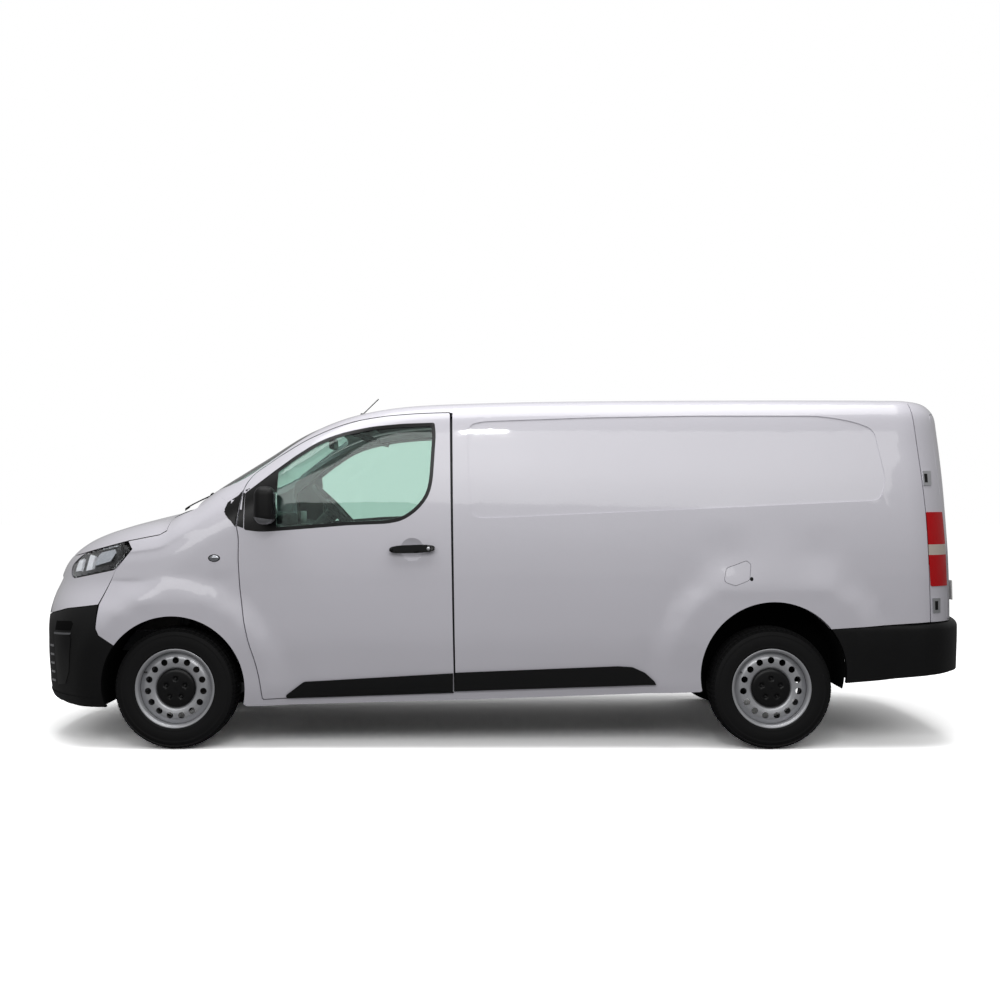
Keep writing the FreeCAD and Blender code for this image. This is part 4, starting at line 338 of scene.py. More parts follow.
def backed(bm, outward, thick):
    """Turns a sheet's faces towards a direction, and gives it a wall behind them."""
    bmesh.ops.recalc_face_normals(bm, faces=bm.faces)
    if sum(f.normal.dot(Vector(outward)) for f in bm.faces) < 0:
        bmesh.ops.reverse_faces(bm, faces=bm.faces)
    bmesh.ops.solidify(bm, geom=bm.faces[:], thickness=thick)


def piece_from(bm, name, material, body, closed=True):
    """Makes a scene piece from a bmesh and sets it on a body of the model."""
    bmesh.ops.remove_doubles(bm, verts=bm.verts, dist=WELD)
    if closed:
        bmesh.ops.recalc_face_normals(bm, faces=bm.faces)
    mesh = bpy.data.meshes.new(name)
    bm.to_mesh(mesh)
    bm.free()
    mesh.polygons.foreach_set("use_smooth", [True] * len(mesh.polygons))
    mesh.set_sharp_from_angle(angle=SMOOTH_ANGLE)
    made = bpy.data.objects.new(name, mesh)
    bpy.context.scene.collection.objects.link(made)
    finish(made, material)
    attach(made, body)
    return made


def carrier(*names):
    """A search tree over the faces of some nodes."""
    bm = bmesh.new()
    for name in names:
        bm.from_mesh(nodes[name].data)
    tree = BVHTree.FromBMesh(bm)
    bm.free()
    return tree


def fitted(bm, tree, direction, lift):
    """Slides every vertex along a direction to a lift in front of the carrier, or drops it."""
    along, missed = Vector(direction).normalized(), []
    for vert in bm.verts:
        hit = tree.ray_cast(vert.co, along)[0]
        if hit is None:
            missed.append(vert)
        else:
            vert.co = hit - along * lift
    bmesh.ops.delete(bm, geom=missed, context="VERTS")


def clipped_grid(outline, spacing, side):
    """A grid in the plane of length and height, cut to a convex outline, outside one side."""
    xs, zs = [p[0] for p in outline], [p[1] for p in outline]
    middle = Vector(((min(xs) + max(xs)) / 2, side * OUTSIDE, (min(zs) + max(zs)) / 2))
    wide, tall = max(xs) - min(xs), max(zs) - min(zs)
    bm = bmesh.new()
    bmesh.ops.create_grid(bm, x_segments=max(2, int(wide / spacing)),
                          y_segments=max(2, int(tall / spacing)), size=0.5)
    bmesh.ops.scale(bm, vec=(wide, tall, 1), verts=bm.verts)
    turn(bm, bm.verts, QUARTER, "X")
    shift(bm, bm.verts, middle)
    centre = Vector((sum(xs) / len(xs), 0, sum(zs) / len(zs)))
    for start, end in zip(outline, outline[1:] + outline[:1]):
        foot = Vector((start[0], 0, start[1]))
        run = Vector((end[0] - start[0], 0, end[1] - start[1]))
        outward = run.cross(Vector((0, 1, 0)))
        if outward.dot(centre - foot) > 0:
            outward.negate()
        cut(bm, foot, outward)
    return bm


def skin_patch(name, outline, side, tree, lift, thick, material, body, spacing=0.012):
    """A sheet that follows the body's side: its face stands a lift outside, its back further in."""
    bm = clipped_grid(outline, spacing, side)
    fitted(bm, tree, (0, -side, 0), lift)
    backed(bm, (0, side, 0), thick)
    return piece_from(bm, name, material, body)


print("helpers ready")

# %% [markdown]
# A van tyre is a bead, a bulged side wall, a rounded shoulder and a flat tread cut into blocks.
# The blocks are the part that a plain torus lacks. The section is spun about the axle in 72
# steps, so that one step is one block long, 29 mm. The tread band is drawn at the depth of its
# grooves, and then every tread face is inset and raised, which leaves the grooves between.

# %% Tyres
WHEEL_RADIUS = 0.335
WHEEL_OUT = 0.807
FRONT_AXLE, REAR_AXLE = -1.7735, 1.5015
BLOCKS = 72
TREAD_INNER = 0.3155
GROOVE_WIDTH = 0.0022
TREAD_DEPTH = 0.0055
side_wall = [(88.6, 206.6), (93, 215.5), (100.5, 218.8), (104.2, 226), (105.2, 229), (104.6, 232),
             (106.6, 242), (107.4, 256), (107.2, 270), (105.4, 284), (103.6, 292), (104.4, 294),
             (103.6, 297), (101.6, 304), (98.6, 313)]
tread_floor = [(94.0, 319.5), (88.0, 323.5), (78, 325.6), (56, 327.8), (47, 328.4), (22, 329.3),
               (14, 329.4)]
inner_wall = [(-72, 205.6), (-86, 228), (-93, 262), (-84, 300), (-76, 312), (0, 316), (76, 312),
              (84, 300), (93, 262), (86, 228), (72, 205.6)]
half = side_wall + tread_floor
ring = half + [(-u, r) for u, r in half[::-1]] + inner_wall
block_bands = [(78, 98.6), (56, 78), (22, 47), (-14, 14), (-47, -22), (-78, -56), (-98.6, -78)]


def turned_ring(section, steps, centre, side):
    """Spins a closed section of (outboard, radius) millimetres about an axle."""
    bm = bmesh.new()
    first = [bm.verts.new((centre.x, centre.y + side * u / 1000, centre.z + r / 1000))
             for u, r in section]
    loop = [bm.edges.new((a, b)) for a, b in zip(first, first[1:] + first[:1])]
    bmesh.ops.spin(bm, geom=first + loop, cent=centre, axis=(0, 1, 0), angle=math.tau,
                   steps=steps, use_merge=True)
    bmesh.ops.remove_doubles(bm, verts=bm.verts, dist=WELD)
    bmesh.ops.recalc_face_normals(bm, faces=bm.faces)
    return bm


def tyre(place, side):
    """One tyre with its tread blocks raised."""
    low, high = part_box("wheel_" + place)
    centre = Vector(((low.x + high.x) / 2, side * WHEEL_OUT, WHEEL_RADIUS))
    bm = turned_ring(ring, BLOCKS, centre, side)
    for near, far in block_bands:
        band = []
        for face in bm.faces:
            middle = face.calc_center_median() - centre
            u, r = side * middle.y * 1000, math.hypot(middle.x, middle.z)
            outer = face.normal.dot(Vector((middle.x, 0, middle.z))) > 0
            if near < u < far and r > TREAD_INNER and outer:
                band.append(face)
        bmesh.ops.inset_individual(bm, faces=band, thickness=GROOVE_WIDTH, depth=TREAD_DEPTH,
                                   use_even_offset=True)
    made = piece_from(bm, "road_tyre_" + place, tyre_rubber, "road_wheel_" + place)
    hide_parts("tyre_" + place)
    return made


corners = [("front_left", -1), ("front_right", 1), ("rear_left", -1), ("rear_right", 1)]
for place, side in corners:
    made = tyre(place, side)
print("tyre faces", len(made.data.polygons))

# %% [markdown]
# The steel wheel's disc and its black cap come as one node with two solids. A copy of the mesh is
# welded and split by its loose parts, so that the disc gets silver lacquer and the cap smooth
# black plastic. Small crescents stand round the five nut recesses, and a rubber valve with its
# cap sticks out of the rim.

# %% Wheels
def loose_parts(node):
    """Welded bmesh copies of a node's separate solids, largest box first."""
    whole = bmesh.new()
    whole.from_mesh(nodes[node].data)
    bmesh.ops.remove_doubles(whole, verts=whole.verts, dist=WELD)
    seen, groups = set(), []
    for start in whole.verts:
        if start.index in seen:
            continue
        stack, group = [start], set()
        while stack:
            vert = stack.pop()
            if vert.index in group:
                continue
            group.add(vert.index)
            stack += [e.other_vert(vert) for e in vert.link_edges]
        seen |= group
        groups.append(group)
    found = []
    for group in groups:
        part = whole.copy()
        part.verts.ensure_lookup_table()
        others = [v for v in part.verts if v.index not in group]
        bmesh.ops.delete(part, geom=others, context="VERTS")
        found.append((math.dist(*extent(part)), part))
    whole.free()
    return [part for _, part in sorted(found, key=lambda pair: -pair[0])]


NUTS, NUT_RING, CAP_FACE = 5, 0.071, 0.0822
VALVE_ANGLE, VALVE_TILT = math.radians(62), math.radians(70)
VALVE_OUT, VALVE_RING = 0.080, 0.186
for place, side in corners:
    body = "road_wheel_" + place
    parts = loose_parts("wheel_" + place)
    disc = piece_from(parts[0], "steel_disc_" + place, wheel_lacquer, body, False)
    cap = piece_from(parts[1], "wheel_cap_" + place, smooth_black_plastic_and_shade, body,
                     False)
    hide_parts("wheel_" + place)
    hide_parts("wheel_" + place)
    low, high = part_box("wheel_" + place)
    centre = Vector(((low.x + high.x) / 2, side * WHEEL_OUT, WHEEL_RADIUS))
    bm = bmesh.new()
    for i in range(NUTS):
        angle = math.tau * i / NUTS
        at_ring = centre + Vector((NUT_RING * math.sin(angle), side * CAP_FACE,
                                   NUT_RING * math.cos(angle)))
        start = bmesh.ops.create_circle(bm, segments=16, radius=0.0032, cap_ends=False)["verts"]
        bmesh.ops.scale(bm, vec=(4.5, 1, 1), verts=start)
        turn(bm, start, QUARTER, "X")
        turn(bm, start, angle, "Y")
        shift(bm, start, at_ring)
        face = bmesh.ops.contextual_create(bm, geom=edges_of(start))["faces"]
        out = bmesh.ops.extrude_face_region(bm, geom=face)["geom"]
        shift(bm, [g for g in out if isinstance(g, bmesh.types.BMVert)], (0, side * 0.0022, 0))
    piece_from(bm, "cap_crescents_" + place, grained_black_plastic, body)
    bm = bmesh.new()
    stem = bmesh.ops.create_cone(bm, cap_ends=True, segments=16, radius1=0.0048, radius2=0.0036,
                                 depth=0.030)["verts"]
    turn(bm, stem, -side * VALVE_TILT, "X")
    shift(bm, stem, (0, side * VALVE_OUT, VALVE_RING))
    turn(bm, stem, -VALVE_ANGLE, "Y")
    shift(bm, stem, centre)
    piece_from(bm, "valve_" + place, smooth_black_plastic_and_shade, body)
print("wheel parts split:", len(parts))

# %% [markdown]
# A headlamp is a clear cover over a dark box. What the eye reads is the black bezel round the
# edge, one big grey reflector towards the side, and two bright upright light guides nearer the
# nose. The solid lamp is replaced by a thin cover that follows the body. The bezel, its raised
# edges, the reflector and the guides are sheets that follow the same surface at their own
# depths, so one table lists them all.

# %% Headlamps
lamp_outline = [(-2.0271, 1.1010), (-2.0852, 1.1409), (-2.3824, 1.0620), (-2.4704, 0.9851),
                (-2.4384, 0.9179), (-2.1182, 0.9829)]
lamp_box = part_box("headlamps")
print("lamp box", [round(v, 3) for v in lamp_box[0]], [round(v, 3) for v in lamp_box[1]])


def shrunk(outline, by):
    """A convex outline drawn in towards its centre by about a distance."""
    cx, cz = sum(p[0] for p in outline) / len(outline), sum(p[1] for p in outline) / len(outline)
    near = []
    for x, z in outline:
        reach = math.hypot(x - cx, z - cz)
        near.append((cx + (x - cx) * (reach - by) / reach, cz + (z - cz) * (reach - by) / reach))
    return near


BEHIND_BODY, COVER_WALL = -0.0003, 0.0028
BEZEL, RAISED, GUIDE, REFLECTOR = (-0.034, 0.020), (-0.006, 0.018), (-0.012, 0.016), (-0.014, 0.012)
lamp_parts = [
    ("lamp_bezel", shrunk(lamp_outline, 0.003),
     BEZEL, smooth_black_plastic_and_shade, "black_plastic", 0.010),
    ("lamp_edge", [(-2.034, 1.096), (-2.088, 1.135), (-2.112, 1.128), (-2.075, 1.060),
                   (-2.122, 0.990), (-2.114, 0.988)],
     RAISED, smooth_black_plastic_and_shade, "black_plastic", 0.008),
    ("lamp_sill", [(-2.122, 0.989), (-2.150, 1.008), (-2.430, 0.946), (-2.434, 0.922)],
     RAISED, smooth_black_plastic_and_shade, "black_plastic", 0.008),
    ("light_guide_front", [(-2.420, 0.960), (-2.372, 0.966), (-2.366, 1.034), (-2.408, 1.020)],
     GUIDE, opal_guide, "clear_lamp", 0.008),
    ("light_guide_side", [(-2.330, 0.966), (-2.284, 0.978), (-2.276, 1.052), (-2.318, 1.060)],
     GUIDE, opal_guide, "clear_lamp", 0.008),
    ("main_reflector", [(-2.262, 1.000), (-2.160, 1.028), (-2.126, 1.078), (-2.142, 1.094),
                        (-2.236, 1.072), (-2.262, 1.040)],
     REFLECTOR, reflector_chrome, "clear_lamp", 0.008),
    ("turn_lamp", [(-2.236, 1.086), (-2.120, 1.110), (-2.128, 1.122), (-2.240, 1.096)],
     REFLECTOR, reflector_chrome, "clear_lamp", 0.008)]
sides = ((-1, "left"), (1, "right"))
lamp_tree = carrier("headlamps")
for side, word in sides:
    cover = skin_patch("lamp_cover_" + word, shrunk(lamp_outline, 0.002), side, lamp_tree,
                       BEHIND_BODY, COVER_WALL, clear_cover, "van_body", 0.010)
    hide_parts("headlamps")
    for name, outline, (lift, thick), material, slot, spacing in lamp_parts:
        skin_patch(name + "_" + word, outline, side, lamp_tree, lift, thick, material,
                   "van_body", spacing)
print("headlamps dressed")

# %% [markdown]
# The small things on the sides: a clear oval repeater lamp on each wing, and a plated lock
# barrel on the handle of each front door. Each sits on the surface that carries it, which a ray
# finds.

# %% Side details
def block(bm, low, high, edge, segments=3):
    """A box with rounded edges added to a bmesh, and the vertices that it brought."""
    before = set(bm.verts)
    cube = bmesh.ops.create_cube(bm, size=1.0)["verts"]
    low, high = Vector(low), Vector(high)
    bmesh.ops.scale(bm, vec=high - low, verts=cube)
    shift(bm, cube, (low + high) / 2)
    bmesh.ops.bevel(bm, geom=edges_of(cube), offset=edge, segments=segments, profile=0.5,
                    affect="EDGES", material=-1)
    return [v for v in bm.verts if v not in before]


def rounded_box(name, low, high, edge, material, body, segments=3):
    """A piece that is one box with rounded edges."""
    bm = bmesh.new()
    block(bm, low, high, edge, segments)
    return piece_from(bm, name, material, body)


def oval(name, centre, half_long, half_tall, side, tree, height, material, body):
    """A low domed oval on the body's side."""
    bm = bmesh.new()
    bmesh.ops.create_uvsphere(bm, u_segments=32, v_segments=16, radius=1.0)
    turn(bm, bm.verts, QUARTER, "X")
    hit = tree.ray_cast(Vector((centre[0], side * OUTSIDE, centre[1])), Vector((0, -side, 0)))[0]
    bmesh.ops.scale(bm, vec=(half_long, height, half_tall), verts=bm.verts)
    shift(bm, bm.verts, hit)
    return piece_from(bm, name, material, body)


REPEATER, LOCK = (-1.547, 1.053), (-0.378, 1.106)
wing_tree = carrier("fenders")
for side, word in sides:
    oval("repeater_rim_" + word, REPEATER, 0.033, 0.021, side, wing_tree, 0.004,
         smooth_black_plastic_and_shade, "van_body")
    oval("repeater_lamp_" + word, REPEATER, 0.028, 0.016, side, wing_tree, 0.009,
         reflector_chrome, "van_body")
    trim_tree = carrier("door_trim_" + word)
    oval("lock_barrel_" + word, LOCK, 0.010, 0.010, side, trim_tree, 0.004,
         bright_zinc, "door_" + word)
print("side details placed")

# %% [markdown]
# The door's trim is one node of four solids: the window frame, the pull handle, the lower moulding
# and the mirror. The frame and the moulding are copied as they are. The real handle narrows
# towards both ends, and the real mirror is a round-cornered shell with a paler skirt, so those
# two are reshaped: the handle by tapering its copy, and the mirror from a well-rounded block.
# A black sail on the door and one on the wing fill the corner in front of the window.

# %% Door trim
def part_within(parts, low, high):
    """The one part whose middle lies between two corners, sides taken as positive."""
    for part in parts:
        middle = [(a + b) / 2 for a, b in zip(*extent(part))]
        middle[1] = abs(middle[1])
        if all(low[i] < middle[i] < high[i] for i in range(3)):
            return part


def mirror_block(bm, low, high):
    """A well-rounded block that narrows a little towards its top and its bottom."""
    for vert in block(bm, low, high, MIRROR_EDGE, 8):
        share = (vert.co.z - MIRROR_LEVEL) / MIRROR_HALF
        vert.co.x = MIRROR_MID + (vert.co.x - MIRROR_MID) * (1 - 0.12 * share * share)


HANDLE_MID, HANDLE_HALF, HANDLE_LEVEL = -0.4675, 0.1225, 1.104
HANDLE_CUTS, HANDLE_RISE = 6, 0.004
MIRROR_MID, MIRROR_LEVEL, MIRROR_HALF, MIRROR_EDGE = -1.256, 1.342, 0.102, 0.046
MIRROR_GLASS, GLASS_HALF = 1.027, 0.044
SAIL_LIFT, SAIL_WALL = 0.0012, 0.0011
door_sail = [(-1.4248, 1.229), (-1.360, 1.205), (-1.356, 1.440), (-1.4013, 1.4225)]
wing_sail = [(-1.4292, 1.230), (-1.4718, 1.266), (-1.4949, 1.294), (-1.499, 1.321),
             (-1.4855, 1.358), (-1.4444, 1.3853), (-1.4052, 1.412)]
for side, word in sides:
    parts = loose_parts("door_trim_" + word)
    body = "door_" + word
    moulding = part_within(parts, (-2, 0.85, 0.2), (0, 1.0, 0.6))
    window_frame = part_within(parts, (-2, 0.6, 1.25), (-0.6, 0.99, 1.8))
    grip = part_within(parts, (-0.6, 0.85, 1.0), (-0.3, 1.05, 1.2))
    for step in range(1 - HANDLE_CUTS, HANDLE_CUTS):
        cut(grip, (HANDLE_MID + step * HANDLE_HALF / HANDLE_CUTS, 0, 0), (1, 0, 0), False)
    for vert in grip.verts:
        share = (vert.co.x - HANDLE_MID) / HANDLE_HALF
        height = (vert.co.z - HANDLE_LEVEL) * (1 - 0.5 * share ** 4)
        vert.co.z = HANDLE_LEVEL + share * HANDLE_RISE + height
    trims = [piece_from(moulding, "door_moulding_" + word, grained_black_plastic, body,
                        False),
             piece_from(window_frame, "window_frame_" + word, smooth_black_plastic_and_shade, body,
                        False),
             piece_from(grip, "pull_handle_" + word, smooth_black_plastic_and_shade, body,
                        False)]
    shell = bmesh.new()
    near, far = sorted((side * 0.952, side * (cad_high.y - 0.0002)))
    mirror_block(shell, (-1.3130, near, 1.2400), (-1.1990, far, 1.4440))
    near, far = sorted((side * 0.93, side * 1.02))
    block(shell, (-1.300, near, 1.262), (-1.232, far, 1.306), 0.012)
    trims.append(piece_from(shell, "mirror_shell_" + word, grained_black_plastic, body))
    for trim in trims:
        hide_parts("door_trim_" + word)
    skirt = bmesh.new()
    near, far = sorted((side * 0.960, side * (cad_high.y - 0.0001)))
    mirror_block(skirt, (-1.3135, near, 1.2390), (-1.1985, far, 1.4440))
    cut(skirt, (MIRROR_MID, 0, 1.272), (0.15, 0, 1))
    bmesh.ops.recalc_face_normals(skirt, faces=skirt.faces)
    bmesh.ops.holes_fill(skirt, edges=[e for e in skirt.edges if e.is_boundary])
    piece_from(skirt, "mirror_skirt_" + word, skirt_grey, body)
    rounded_box("mirror_glass_" + word, (-1.2100, side * MIRROR_GLASS - GLASS_HALF, 1.292),
                (-1.1983, side * MIRROR_GLASS + GLASS_HALF, 1.412), 0.006, mirror_silver, body)
    skin_patch("door_sail_" + word, door_sail, side, carrier("front_door_" + word), SAIL_LIFT,
               SAIL_WALL, smooth_black_plastic_and_shade, body, 0.010)
    skin_patch("wing_sail_" + word, wing_sail, side, carrier("fenders", "side_mouldings"),
               SAIL_LIFT, SAIL_WALL, smooth_black_plastic_and_shade, "van_body", 0.010)
print("trims on each door:", len(trims))

# %% [markdown]
# A wheel arch is lined right out to the bumper's edge, so that no daylight shows between the
# two. A narrow curved lip closes that slit at each corner. A small black oval at the fuel flap's
# lower rear corner is painted shade for its finger notch, and each bumper corner has a vertical
# vent panel with slats.

# %% Arch lips, painted notch shade and bumper corners
LIP_RADIUS, LINER_RADIUS, LIP_NEAR, LIP_FAR, LIP_WALL = 0.4005, 0.402, 0.66, 0.925, 0.003


def arch_lip(name, x, z, start, sweep, side):
    """A curved strip of the arch, from an angle measured from straight up towards the tail."""
    bm = bmesh.new()
    ends = [bm.verts.new((x, side * y, z + LIP_RADIUS)) for y in (LIP_NEAR, LIP_FAR)]
    edge = bm.edges.new(ends)
    turn(bm, ends, math.radians(start), "Y", (x, 0, z))
    bmesh.ops.spin(bm, geom=ends + [edge], cent=(x, 0, z), axis=(0, 1, 0),
                   angle=math.radians(sweep), steps=24)
    bmesh.ops.recalc_face_normals(bm, faces=bm.faces)
    bmesh.ops.solidify(bm, geom=bm.faces[:], thickness=LIP_WALL)
    return piece_from(bm, name, arch_felt, "van_body")


liner_boxes = [extent(part) for part in loose_parts("arch_liners")]
front_top = max(high[2] for low, high in liner_boxes if low[0] < 0)
rear_top = max(high[2] for low, high in liner_boxes if low[0] > 0)
print("liner tops", round(front_top, 4), round(rear_top, 4))
corner_parts = [
    ("corner_recess", [(-2.478, 0.644), (-2.352, 0.652), (-2.338, 0.690), (-2.352, 0.704),
                       (-2.468, 0.696)], 0.0010, 0.0009, arch_felt, 0.008),
    ("corner_panel", [(-2.470, 0.335), (-2.405, 0.350), (-2.372, 0.420), (-2.350, 0.606),
                      (-2.358, 0.626), (-2.484, 0.616)],
     0.0030, 0.0028, smooth_black_plastic_and_shade, 0.010),
    ("corner_ledge", [(-2.488, 0.620), (-2.356, 0.630), (-2.350, 0.640), (-2.486, 0.632)],
     0.0040, 0.0038, skirt_grey, 0.004)]
SLATS, SLAT_LOW, SLAT_PITCH = 5, 0.345, 0.050
corner_tree = carrier("front_bumper")
for side, word in sides:
    arch_lip("rear_lip_" + word, REAR_AXLE, rear_top - LINER_RADIUS, 66, 27, side)
    arch_lip("front_lip_" + word, FRONT_AXLE, front_top - LINER_RADIUS, 259, 26, side)
    for name, outline, lift, thick, material, spacing in corner_parts:
        skin_patch(name + "_" + word, outline, side, corner_tree, lift, thick, material,
                   "van_body", spacing)
    for step in range(SLATS):
        level = SLAT_LOW + step * SLAT_PITCH
        outline = [(-2.534, level), (-2.492, level + 0.004), (-2.492, level + 0.016),
                   (-2.534, level + 0.012)]
        skin_patch("corner_slat_%s_%d" % (word, step + 1), outline, side, corner_tree, 0.0050,
                   0.0048, bright_zinc, "van_body", 0.006)
# Painted shade: a black oval stands for the shadow in the fuel flap's finger notch.
oval("flap_notch_shade", (1.3770, 0.9400), 0.0095, 0.0120, -1, carrier("side_panel_left", "fuel_flap"),
     0.0030, smooth_black_plastic_and_shade, "van_body")

# %% [markdown]
# The rim's flange is rolled over in two steps. Thin black hoops in the two creases are painted
# shade for the shadow that falls there, and the eye reads them as thin dark rings round the disc.

# %% Rim creases with painted shade
CREASES = ((0.2105, 0.0960), (0.1990, 0.0638))
CREASE_THICK = 0.0016


def hoop(bm, centre, radius, thick):
    """A thin closed hoop round a point of the axle."""
    before = set(bm.verts)
    made = bmesh.ops.create_circle(bm, cap_ends=False, segments=8, radius=thick)["verts"]
    shift(bm, made, (radius, 0, 0))
    bmesh.ops.spin(bm, geom=made + edges_of(made), cent=(0, 0, 0), axis=(0, 1, 0),
                   angle=math.tau, steps=72, use_merge=True)
    shift(bm, [v for v in bm.verts if v not in before], centre)


for place, side in corners:
    axle = FRONT_AXLE if place.startswith("front") else REAR_AXLE
    bm = bmesh.new()
    for radius, outboard in CREASES:
        hoop(bm, (axle, side * (WHEEL_OUT + outboard), WHEEL_RADIUS), radius, CREASE_THICK)
    # Painted shade: the black hoops in the creases stand for the shadow there.
    piece_from(bm, "rim_crease_shade_" + place, smooth_black_plastic_and_shade, "road_wheel_" + place)
print("rims with creases:", len(corners))

# %% [markdown]
# Behind each front wheel a pressed shield keeps water off the brake, and beside the engine a
# black splash guard closes the bay. They are what stops the eye from seeing daylight through
# the holes of the wheel and in front of the tyre.

# %% Brake shields and splash guards
SHIELD_OUT, SHIELD_LOW, SHIELD_WALL = 0.7870, -0.115, 0.0015
GUARD_OUT, GUARD_HALF = 0.400, 0.002
for side, word in sides:
    bm = bmesh.new()
    outer = bmesh.ops.create_circle(bm, cap_ends=False, segments=96, radius=0.1715)["verts"]
    inner = bmesh.ops.create_circle(bm, cap_ends=False, segments=96, radius=0.1000)["verts"]
    bmesh.ops.bridge_loops(bm, edges=edges_of(outer + inner))
    turn(bm, bm.verts, QUARTER, "X")
    cut(bm, (0, 0, SHIELD_LOW), (0, 0, -1))
    bmesh.ops.recalc_face_normals(bm, faces=bm.faces)
    bmesh.ops.solidify(bm, geom=bm.faces[:], thickness=SHIELD_WALL)
    shift(bm, bm.verts, (FRONT_AXLE, side * SHIELD_OUT, WHEEL_RADIUS))
    piece_from(bm, "brake_shield_" + word, dipped_primer, "steered_hub_" + word)
    rounded_box("splash_guard_" + word, (-2.450, side * GUARD_OUT - GUARD_HALF, 0.240),
                (-2.030, side * GUARD_OUT + GUARD_HALF, 0.520), SHIELD_WALL, arch_felt,
                "van_body")
print("shields and guards placed")

# %% [markdown]
# Under the bumper runs a thin chin that stands further forward than the bumper's own lower edge.
# A band is cut from a copy of the bumper and stretched forward, so that it keeps the bumper's
# curve in plan.

# %% Chin
CHIN_ROOT, CHIN_TIP = -2.10, -2.6530
bm = bmesh.new()
bm.from_mesh(nodes["front_bumper"].data)
bmesh.ops.remove_doubles(bm, verts=bm.verts, dist=WELD)
for level, way in ((0.2420, -1), (0.2860, 1)):
    cut(bm, (0, 0, level), (0, 0, way))
bmesh.ops.holes_fill(bm, edges=[e for e in bm.edges if e.is_boundary])
tip = min(v.co.x for v in bm.verts)
stretch = (CHIN_TIP - CHIN_ROOT) / (tip - CHIN_ROOT)
for vert in bm.verts:
    if vert.co.x < CHIN_ROOT:
        vert.co.x = CHIN_ROOT + (vert.co.x - CHIN_ROOT) * stretch
print("chin stretched by", round(stretch, 3))
piece_from(bm, "chin", grained_black_plastic, "van_body")

# %% [markdown]
# The tail carries two hinges on each rear door, and on the left door a handle with its lock
# and a blank number plate. A hinge is a short plated strap that wraps the corner, and it stays on
# the post when the door swings. The slot between its leaves gets a black sheet: painted shade.

# %% Tail details
HINGE_HALF, SLOT_HALF = 0.040, 0.024
BEYOND, PLATE_STAND = 3.2, 0.006
hinge_places = (("upper", 1.491, 2.327, 2.388), ("lower", 0.794, 2.370, 2.423))
post_tree = carrier("rear_corners")
door_trees = {-1: carrier("rear_door_left"), 1: carrier("rear_door_right")}
for side, word in sides:
    for name, height, low_x, high_x in hinge_places:
        low, high = height - HINGE_HALF, height + HINGE_HALF
        strap = [(low_x + 0.004, low), (high_x, low), (high_x, high), (low_x, high)]
        skin_patch("hinge_%s_%s" % (name, word), strap, side, post_tree, 0.006, 0.0058,
                   bright_zinc, "van_body", 0.010)
        # Painted shade: a black sheet in the slot between the leaves stands for the shadow in that
        # gap.
        low, high = height - SLOT_HALF, height + SLOT_HALF
        opening = [(low_x + 0.018, low), (low_x + 0.036, low), (low_x + 0.036, high),
                   (low_x + 0.016, high)]
        skin_patch("hinge_slot_%s_%s" % (name, word), opening, side, post_tree, 0.0075, 0.004,
                   smooth_black_plastic_and_shade, "van_body", 0.008)


def behind(y, z):
    """How far back the rear doors' skin lies at a place."""
    start = Vector((BEYOND, y, z))
    return door_trees[1 if y > 0 else -1].ray_cast(start, Vector((-1, 0, 0)))[0].x


def plate():
    """A blank number plate, upright at the origin."""
    bm = bmesh.new()
    block(bm, (-0.004, -0.26, -0.0555), (0.004, 0.26, 0.0555), 0.003)
    return bm


plate_y, plate_z = -0.42, 0.86
up_and_down, across = 0.05, 0.20
HANDLE_Y, LOCK_Y, LATCH_LEVEL = -0.10, -0.175, 1.02
lean = math.atan2(behind(plate_y, plate_z + up_and_down) - behind(plate_y, plate_z - up_and_down),
                  2 * up_and_down)
sweep = math.atan2(behind(plate_y + across, plate_z) - behind(plate_y - across, plate_z),
                   2 * across)
bm = plate()
turn(bm, bm.verts, lean, "Y")
turn(bm, bm.verts, -sweep, "Z")
shift(bm, bm.verts, (behind(plate_y, plate_z) + PLATE_STAND, plate_y, plate_z))
piece_from(bm, "rear_plate", plate_sheet, "back_door_left")
bm = bmesh.new()
block(bm, (-0.012, -0.05, -0.011), (0.016, 0.05, 0.011), 0.005)
shift(bm, bm.verts, (behind(HANDLE_Y, LATCH_LEVEL), HANDLE_Y, LATCH_LEVEL))
piece_from(bm, "rear_handle", grained_black_plastic, "back_door_left")
bm = bmesh.new()
barrel = bmesh.ops.create_cone(bm, cap_ends=True, segments=24, radius1=0.011, radius2=0.011,
                               depth=0.012)["verts"]
turn(bm, barrel, QUARTER, "Y")
shift(bm, barrel, (behind(LOCK_Y, LATCH_LEVEL), LOCK_Y, LATCH_LEVEL))
piece_from(bm, "rear_lock", bright_zinc, "back_door_left")
print("tail details placed, door lean", round(math.degrees(lean), 1))

# %% [markdown]
# A blank front plate stands on the bumper, and behind the grilles is a radiator: a dark core of
# thin fins. Without it the eye would look through the slats into an empty bay.

# %% Front details
bumper_tree = carrier("front_bumper", "grille")
FRONT_PLATE_Z, PLATE_SINK, BOX_MARGIN = 0.575, 0.005, 0.012
hit = bumper_tree.ray_cast(Vector((-BEYOND, 0, FRONT_PLATE_Z)), Vector((1, 0, 0)))[0]
plate_base = max(hit.x, cad_low.x + BOX_MARGIN)
bm = plate()
shift(bm, bm.verts, (plate_base - PLATE_SINK, 0, FRONT_PLATE_Z))
piece_from(bm, "front_plate", plate_sheet, "van_body")
FINS, FIN_PITCH = 60, 0.008
bm = bmesh.new()
block(bm, (-2.44, -0.36, 0.44), (-2.40, 0.36, 0.93), 0.004)
fin = bmesh.ops.create_cube(bm, size=1.0)["verts"]
bmesh.ops.scale(bm, vec=(0.006, 0.70, 0.0012), verts=fin)
shift(bm, fin, (-2.443, 0, 0.45))
geom = list(fin) + edges_of(fin) + list({f for v in fin for f in v.link_faces})
